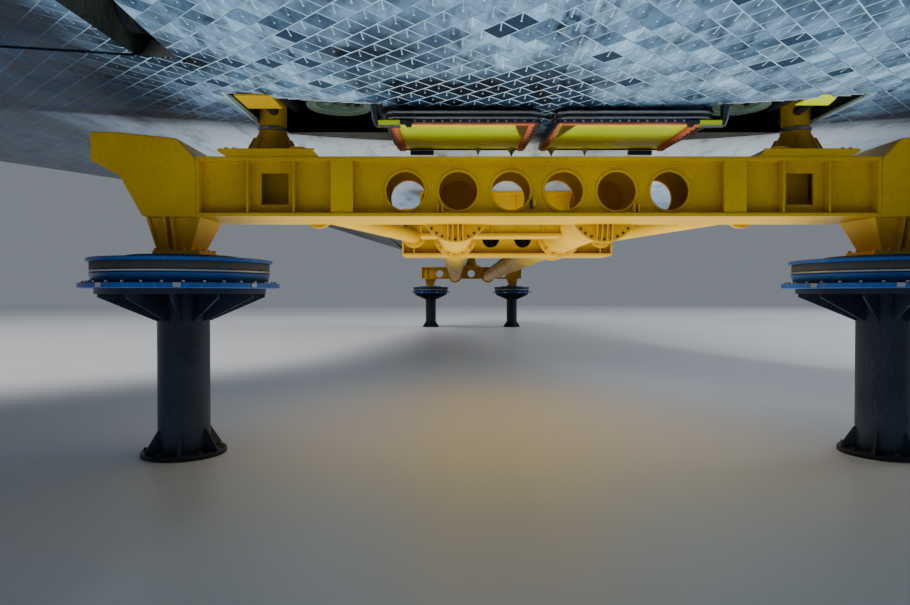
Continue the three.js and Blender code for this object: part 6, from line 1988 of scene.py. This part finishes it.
def make_carrying_cones():
    x = 96.5 * INCH
    top, well_roof = BEAM_TOP + TOUCH, z_of(WELL_ROOF)
    lower = [(1.95, top), (2.77, top), (2.85, 2.765), (2.85, 2.79), (2.02, 2.79)]
    upper = [(2.055, 2.7895), (2.24, 2.7895), (2.19, 2.81), (2.09, 2.81)]
    parts = [prism(lower, "y", ATTACH_Y - 0.345, ATTACH_Y + 0.345)]
    parts.append(prism(upper, "y", ATTACH_Y - 0.34, ATTACH_Y + 0.34))
    parts.append(soft_box(1.99, 2.84, ATTACH_Y - 0.351, ATTACH_Y - 0.34, 2.775, 2.791, 0.003))
    base = Vector((x, ATTACH_Y, 2.789))
    height = well_roof - 2.7893
    cone = [(0.24, 0), (0.24, 0.012), (0.225, 0.016), (0.13, 0.21), (0.13, 0.225), (0.125, 0.23)]
    parts.append(turned([*cone, (0.125, height), (0, height)], base, UP, 56))
    for t in turns(8):
        u = Vector((math.cos(t + 0.39), math.sin(t + 0.39), 0))
        side = Vector((-u.y, u.x, 0)) * 0.006
        rows = [base + u * r + UP * z for r, z in ((0.222, 0.0), (0.262, 0.0), (0.175, 0.165), (0.14, 0.165))]
        parts.append(loft([[p + side for p in rows], [p - side for p in rows]]))
    bolts = [Vector((px, ATTACH_Y + dy, 2.79)) for px in (2.3, 2.72, 2.79) for dy in (-0.3, -0.1, 0.1, 0.3)]
    parts.append(bolt_heads(bolts, UP, 0.016, 0.018))
    post = join_meshes("cone", parts, [YELLOW])
    collar = rod(Vector((x, ATTACH_Y, 3.01)), Vector((x, ATTACH_Y, 3.05)), 0.14, 48, bevel=0.008)
    collar = join_meshes("collar", [collar], [STEEL])
    add_pairs(
        ("carrying_cone_post_{}", post, "yellow_paint", "", "carrying_cone_{}"),
        ("carrying_cone_collar_{}", collar, "alloy", "", ""),
    )


def rib_between(centre, out, axis, start, radius, tube, long):
    """A triangular rib on a flange, from the tube's wall out to the bolts."""
    wide = axis.cross(out) * 0.006
    foot = centre + axis * start
    rows = ((radius - 0.012, 0), (radius - 0.02, 0.02), (tube + 0.012, long), (tube - 0.01, long))
    rows = ((tube - 0.01, 0), *rows)
    shape = [foot + out * r + axis * height for r, height in rows]
    return loft([[p + wide for p in shape], [p - wide for p in shape]])


def flange_parts(centre, axis, radius, tube, ribs=12, bolts=16, thick=0.04):
    """A bolted end flange on a tube, stiffened by ribs; axis points along the tube."""
    parts = [rod(centre, centre + axis * thick, radius, 64, 0, bevel=0.004)]
    _, u, v = disc_frame(axis)
    for t in turns(ribs, 0.5):
        out = u * math.cos(t) + v * math.sin(t)
        parts.append(rib_between(centre, out, axis, thick - 0.002, radius, tube, 0.16))
    middle = (radius + tube) / 2 + 0.004
    parts.append(bolt_heads(on_circle(centre + axis * thick, axis, middle, bolts), axis, 0.014, 0.016))
    return parts


def hanging_disc():
    """The larger disc under the aft beam, bolted to it and ribbed on its near face."""
    y = ATTACH_Y + BEAM_DEPTH / 2 + TOUCH
    centre = Vector((TUBE_SIDE, y, 2.363))
    axis = -AFT
    parts = [rod(centre, centre + axis * 0.04, 0.35, 80, 0, bevel=0.004)]
    parts.append(bolt_heads(on_circle(centre + axis * 0.04, axis, 0.315, 24), axis, 0.014, 0.016))
    low = [p for p in on_circle(centre, axis, 0.318, 30, 0.1) if p.z < BEAM_BOTTOM - 0.012]
    parts.append(bolt_heads(low, -axis, 0.014, 0.014, 1))
    for off in (-0.075, -0.026, 0.026, 0.075):
        edge = centre.z - math.sqrt(0.345**2 - off**2)
        x = TUBE_SIDE + off
        top = BEAM_BOTTOM + 0.001
        rib = [(y - 0.06, top), (y + 0.001, top), (y + 0.001, edge), (y - 0.012, edge)]
        parts.append(prism(rib, "x", x - 0.007, x + 0.007))
    return parts


def make_tubes():
    reach = BEAM_DEPTH / 2 + TOUCH
    start, second_near = ATTACH_Y + reach, SECOND_Y - reach
    ahead, back = -AFT, AFT
    runs = (("short", start, second_near), ("long", SECOND_Y + reach, FRONT_Y - reach))
    for kind, y0, y1 in runs:
        a, b = Vector((TUBE_SIDE, y0, TUBE_HEIGHT)), Vector((TUBE_SIDE, y1, TUBE_HEIGHT))
        parts = [rod(a + ahead * 0.012, b + back * 0.012, TUBE_RADIUS, 64)]
        parts += flange_parts(b, back, 0.305, TUBE_RADIUS)
        if kind == "short":
            parts += hanging_disc()
        else:
            parts += flange_parts(a, ahead, 0.305, TUBE_RADIUS)
            weld = [(0.238, 0), (0.252, 0.004), (0.252, 0.05), (0.238, 0.054)]
            for y in spread(y0 + 3, y1 - 3, 4.2):
                parts.append(turned(weld, Vector((TUBE_SIDE, y, TUBE_HEIGHT)), ahead, 64))
        mesh = join_meshes(kind + "_tube", parts, [YELLOW, DARK_METAL])
        add_pairs((kind + "_tube_pipe_{}", mesh, "yellow_paint", "", kind + "_tube_{}"))
    a, b = Vector((2.1, start, BRACE_HEIGHT)), Vector((BRACE_SIDE, second_near, BRACE_HEIGHT))
    parts = [rod(a + ahead * 0.03, b + back * 0.03, 0.095, 40)]
    parts += flange_parts(a, ahead, 0.165, 0.1, 0, 10, 0.036)
    parts += flange_parts(b, back, 0.165, 0.1, 0, 10, 0.036)
    add_pairs(("brace_pipe_{}", join_meshes("brace", parts, [YELLOW]), "yellow_paint", "", "brace_{}"))


def make_further_beams():
    holes = [(u, 2.29, 0.125) for u in (-0.23, 0.23)]
    ribs = (-BRACE_SIDE, -TUBE_SIDE, TUBE_SIDE, BRACE_SIDE)
    parts = beam_parts(SECOND_Y, 1.5, holes, 2.05, ribs=ribs)
    # A near-black sheet inside the beam, seen through its holes: painted shade in the beam's hollow.
    parts.append(soft_box(-0.6, 0.6, SECOND_Y - 0.02, SECOND_Y - 0.01, 2.08, 2.5, 0.002, 1))
    add_yellow("second_cross_beam", parts, "second_beam", NEAR_BLACK_AND_SHADE)
    half, near, far = 1.16, ATTACH_Y + 1.61, ATTACH_Y + 2.11
    parts = [soft_box(-half, half, near, far, BEAM_TOP - FLANGE, BEAM_TOP)]
    seat = TUBE_RADIUS + 0.0006
    dip = math.asin((TUBE_HEIGHT - BEAM_BOTTOM) / seat)
    web = [(-half, BEAM_BOTTOM)]
    for side in (-TUBE_SIDE, TUBE_SIDE):
        for k in range(29):
            turn = math.pi + dip - k * (math.pi + 2 * dip) / 28
            web.append((side + seat * math.cos(turn), TUBE_HEIGHT + seat * math.sin(turn)))
    web += [(half, BEAM_BOTTOM), (half, BEAM_TOP - 0.01), (-half, BEAM_TOP - 0.01)]
    for start in (near + 0.03, far - 0.03 - WEB):
        parts.append(plate(web, [], start, start + WEB))
    gap = math.sqrt(seat**2 - (TUBE_HEIGHT - BEAM_BOTTOM - FLANGE) ** 2)
    for x0, x1 in ((-half, -TUBE_SIDE - gap), (-TUBE_SIDE + gap, TUBE_SIDE - gap), (TUBE_SIDE + gap, half)):
        parts.append(soft_box(x0 + 0.001, x1 - 0.001, near, far, BEAM_BOTTOM, BEAM_BOTTOM + FLANGE, 0.002))
    for x in (-half, half - WEB):
        low, high = BEAM_BOTTOM + 0.005, BEAM_TOP - 0.005
        parts.append(soft_box(x, x + WEB, near + 0.004, far - 0.004, low, high, 0.003))
    low, high = BEAM_BOTTOM + FLANGE, BEAM_TOP - FLANGE
    for x in (-0.3, 0, 0.3):
        parts.append(soft_box(x - 0.008, x + 0.008, near + 0.004, near + 0.031, low, high, 0.002))
    add_yellow("middle_cross_beam", parts, "middle_beam")
    holes = [(u, HOLE_HEIGHT, HOLE_RADIUS) for u in (-1.45, 0, 1.45)]
    ribs = (-2.0, -0.95, 0.95, 2.0)
    parts = beam_parts(FRONT_Y, 2.25, holes, ribs=ribs, straps=(-0.45, 0.45))
    for sign in (1, -1):
        parts += leg_parts(sign * 1.85, FRONT_Y, -sign)
    add_yellow("front_cross_beam", parts, "front_beam", DARK_METAL)
    top = z_of(274) - BEAM_TOP - 2 * TOUCH
    profile = [(0, 0), (0.42, 0), (0.42, 0.055), (0.415, 0.06), (0.3, 0.06), (0.14, top), (0, top)]
    base = Vector((0, FRONT_Y, BEAM_TOP + TOUCH))
    parts = [turned(profile, base, UP, 64)]
    parts.append(bolt_heads(on_circle(base + UP * 0.06, UP, 0.37, 16), UP, 0.016, 0.02))
    add_yellow("front_carrying_post", parts, "front_post")


HEAD_FIN = [(0.225, 1.25), (0.245, 1.25), (0.735, 1.47), (0.735, 1.502), (0.225, 1.502)]
FOOT_FIN = [(0.225, 0.038), (0.36, 0.038), (0.36, 0.06), (0.245, 0.24), (0.225, 0.24)]
# Mark and profile of each: lower frame, dish, steel ring, black seal, top plate, seat.
ISOLATOR_LAYERS = [
    (0, [(0.86, 1.5503), (0.87, 1.556), (0.87, 1.594), (0.86, 1.6)]),
    (0, [(0.755, 1.6), (0.768, 1.615), (0.785, 1.68), (0.777, 1.69)]),
    (1, [(0.787, 1.69), (0.792, 1.694), (0.792, 1.706), (0.787, 1.71)]),
    (2, [(0.775, 1.71), (0.78, 1.72), (0.78, 1.775), (0.775, 1.785)]),
    (3, [(0.8, 1.785), (0.807, 1.79), (0.807, 1.812), (0.8, 1.818)]),
    (3, [(0.5, 1.818), (0.5, 1.8435), (0.494, 1.85)]),
]


def make_pedestal(name, x, y):
    """Dark column with a finned head, and the blue isolator on it."""
    foot = Vector((x, y, 0))
    post = [(0, 0), (0.38, 0), (0.38, 0.034), (0.374, 0.04), (0.232, 0.04), (0.232, 1.5), (0, 1.5)]
    parts = [turned(post, foot, UP, 72)]
    parts.append(turned([(0, 1.5), (0.745, 1.5), (0.745, 1.55), (0, 1.55)], foot, UP, 72))
    for k, t in enumerate(turns(12, 0.5)):
        out = Vector((math.cos(t), math.sin(t), 0))
        wide = Vector((-out.y, out.x, 0)) * 0.009
        for fin in (HEAD_FIN, FOOT_FIN) if k % 2 else (HEAD_FIN,):
            ring = [foot + out * r + UP * z for r, z in fin]
            parts.append(loft([[p + wide for p in ring], [p - wide for p in ring]]))
    parts.append(bolt_heads(on_circle(foot + UP * 0.04, UP, 0.34, 12, 0.26), UP, 0.018, 0.03))
    mesh = join_meshes("column", parts, [NEAR_BLACK_AND_SHADE])
    new_piece("column_post_" + name, mesh, ROOT, ["column_" + name])
    parts = []
    for mark, profile in ISOLATOR_LAYERS:
        parts.append(turned([(0, profile[0][1]), *profile, (0, profile[-1][1])], foot, UP, 96, mark))
    parts.append(bolt_heads(on_circle(foot + UP * 1.6, UP, 0.835, 32), UP, 0.013, 0.014, 1))
    for t in turns(8, 0.5):
        out = Vector((math.cos(t), math.sin(t), 0))
        side = Vector((-out.y, out.x, 0))
        for off, size, mark in ((-0.05, 0.03, 1), (0.045, 0.035, 0)):
            middle = foot + out * 0.866 + side * off + UP * 1.577
            corners = ((-1, -1), (1, -1), (1, 1), (-1, 1))
            box_ring = [middle + side * a * size + UP * b * 0.018 for a, b in corners]
            parts.append(with_mark(loft([box_ring, [p + out * 0.004 for p in box_ring]]), mark))
    outer = x + math.copysign(0.885, x)
    parts.append(soft_box(outer - 0.02, outer + 0.02, y - 0.055, y + 0.055, 1.556, 1.632, 0.003, 4))
    nuts = [Vector((outer - 0.0205, y + off, 1.61)) for off in (-0.03, 0.03)]
    parts.append(bolt_heads(nuts, Vector((-1, 0, 0)), 0.01, 0.008, 1))
    nuts = [Vector((outer + off, y - 0.0555, 1.61)) for off in (-0.01, 0.01)]
    parts.append(bolt_heads(nuts, AFT, 0.006, 0.006, 2))
    mesh = join_meshes("isolator", parts, [BLUE, STEEL, RUBBER, BLUE, EDGE_PAINT])
    new_piece("isolator_drum_" + name, mesh, ROOT, ["isolator_" + name])


# Floor, light, camera and assembly
FLOOR_HALF = 70


def make_floor():
    corners = [Vector((x * FLOOR_HALF, y * FLOOR_HALF, 0)) for x, y in ((-1, -1), (1, -1), (1, 1), (-1, 1))]
    material, graph, shader, position, _ = new_material("pale_floor")
    tone = graph.cloud(position, 0.15, 3.0)
    color = graph.mix(tone, rgb(0.66, 0.67, 0.69), rgb(0.72, 0.73, 0.75))
    finish_shader(graph, shader, color, graph.ramp(tone, 0, 1, 0.35, 0.45))
    mesh = mesh_from("floor", corners, [(0, 1, 2, 3)], [material], smooth=False)
    floor = bpy.data.objects.new("floor", mesh)
    bpy.context.scene.collection.objects.link(floor)


def add_light(name, place, target, size, power, color=(1, 1, 1)):
    lamp = bpy.data.lights.new(name, "AREA")
    lamp.shape, lamp.size, lamp.size_y = "RECTANGLE", *size
    lamp.energy, lamp.color = power, color
    holder = bpy.data.objects.new(name, lamp)
    holder.location = place
    holder.rotation_euler = (Vector(target) - Vector(place)).to_track_quat("-Z", "Y").to_euler()
    holder.visible_camera = False
    bpy.context.scene.collection.objects.link(holder)
    return holder


def make_light_and_camera():
    world = bpy.data.worlds.new("studio")
    world.use_nodes = True
    world.node_tree.nodes["Background"].inputs[0].default_value = (0.76, 0.83, 0.95, 1)
    world.node_tree.nodes["Background"].inputs[1].default_value = 0.26
    bpy.context.scene.world = world
    add_light("high_soft", (-14, -6, 32), (0, 0, 5), (24, 24), 11000, (1.0, 0.98, 0.95))
    add_light("side_soft", (52, 18, 34), (0, 0, 5), (30, 30), 20000, (0.9, 0.95, 1.0))
    glow = add_light("floor_glow", (0, -8.3, 0.03), (0, -8.3, 9), (11, 11), 800, (0.55, 0.78, 1.0))
    glow.visible_glossy = False
    lamp = add_light("under_frame", (0, -7.5, 0.04), (0, -7.5, 9), (7, 2.8), 200, (1.0, 0.88, 0.5))
    lamp.visible_glossy = False
    lens = bpy.data.cameras.new("photo_view")
    lens.lens, lens.sensor_width, lens.sensor_fit = 25.7, 36.0, "HORIZONTAL"
    lens.clip_start, lens.clip_end = 0.05, 300
    camera = bpy.data.objects.new("photo_view", lens)
    camera.location = (-0.744, -14.96, 1.5)
    camera.rotation_euler = (math.radians(89.25), 0, 0)
    bpy.context.scene.collection.objects.link(camera)
    bpy.context.scene.camera = camera


make_floor()
make_light_and_camera()
make_nose()
make_forward_fuselage()
make_windows()
make_side_hatch()
make_forward_fittings()
make_nose_doors()
make_mid_fuselage()
make_bay_structure()
make_load_bay_doors()
make_wings()
make_elevons()
make_wheel_doors()
make_aft_fuselage()
make_main_engines()
make_pods()
make_body_flap()
make_fin()
make_rudders()
make_umbilical_doors()
make_well_lining(1, "right", RIGHT_WELL_PANEL, PRIMER)
make_well_lining(-1, "left", LEFT_WELL_PANEL, YELLOW)
make_aft_beam()
make_carrying_cones()
make_tubes()
make_further_beams()
for pedestal, px, py in (
    ("aft_right", 3.3, ATTACH_Y),
    ("aft_left", -3.3, ATTACH_Y),
    ("front_right", 1.85, FRONT_Y),
    ("front_left", -1.85, FRONT_Y),
):
    make_pedestal(pedestal, px, py)
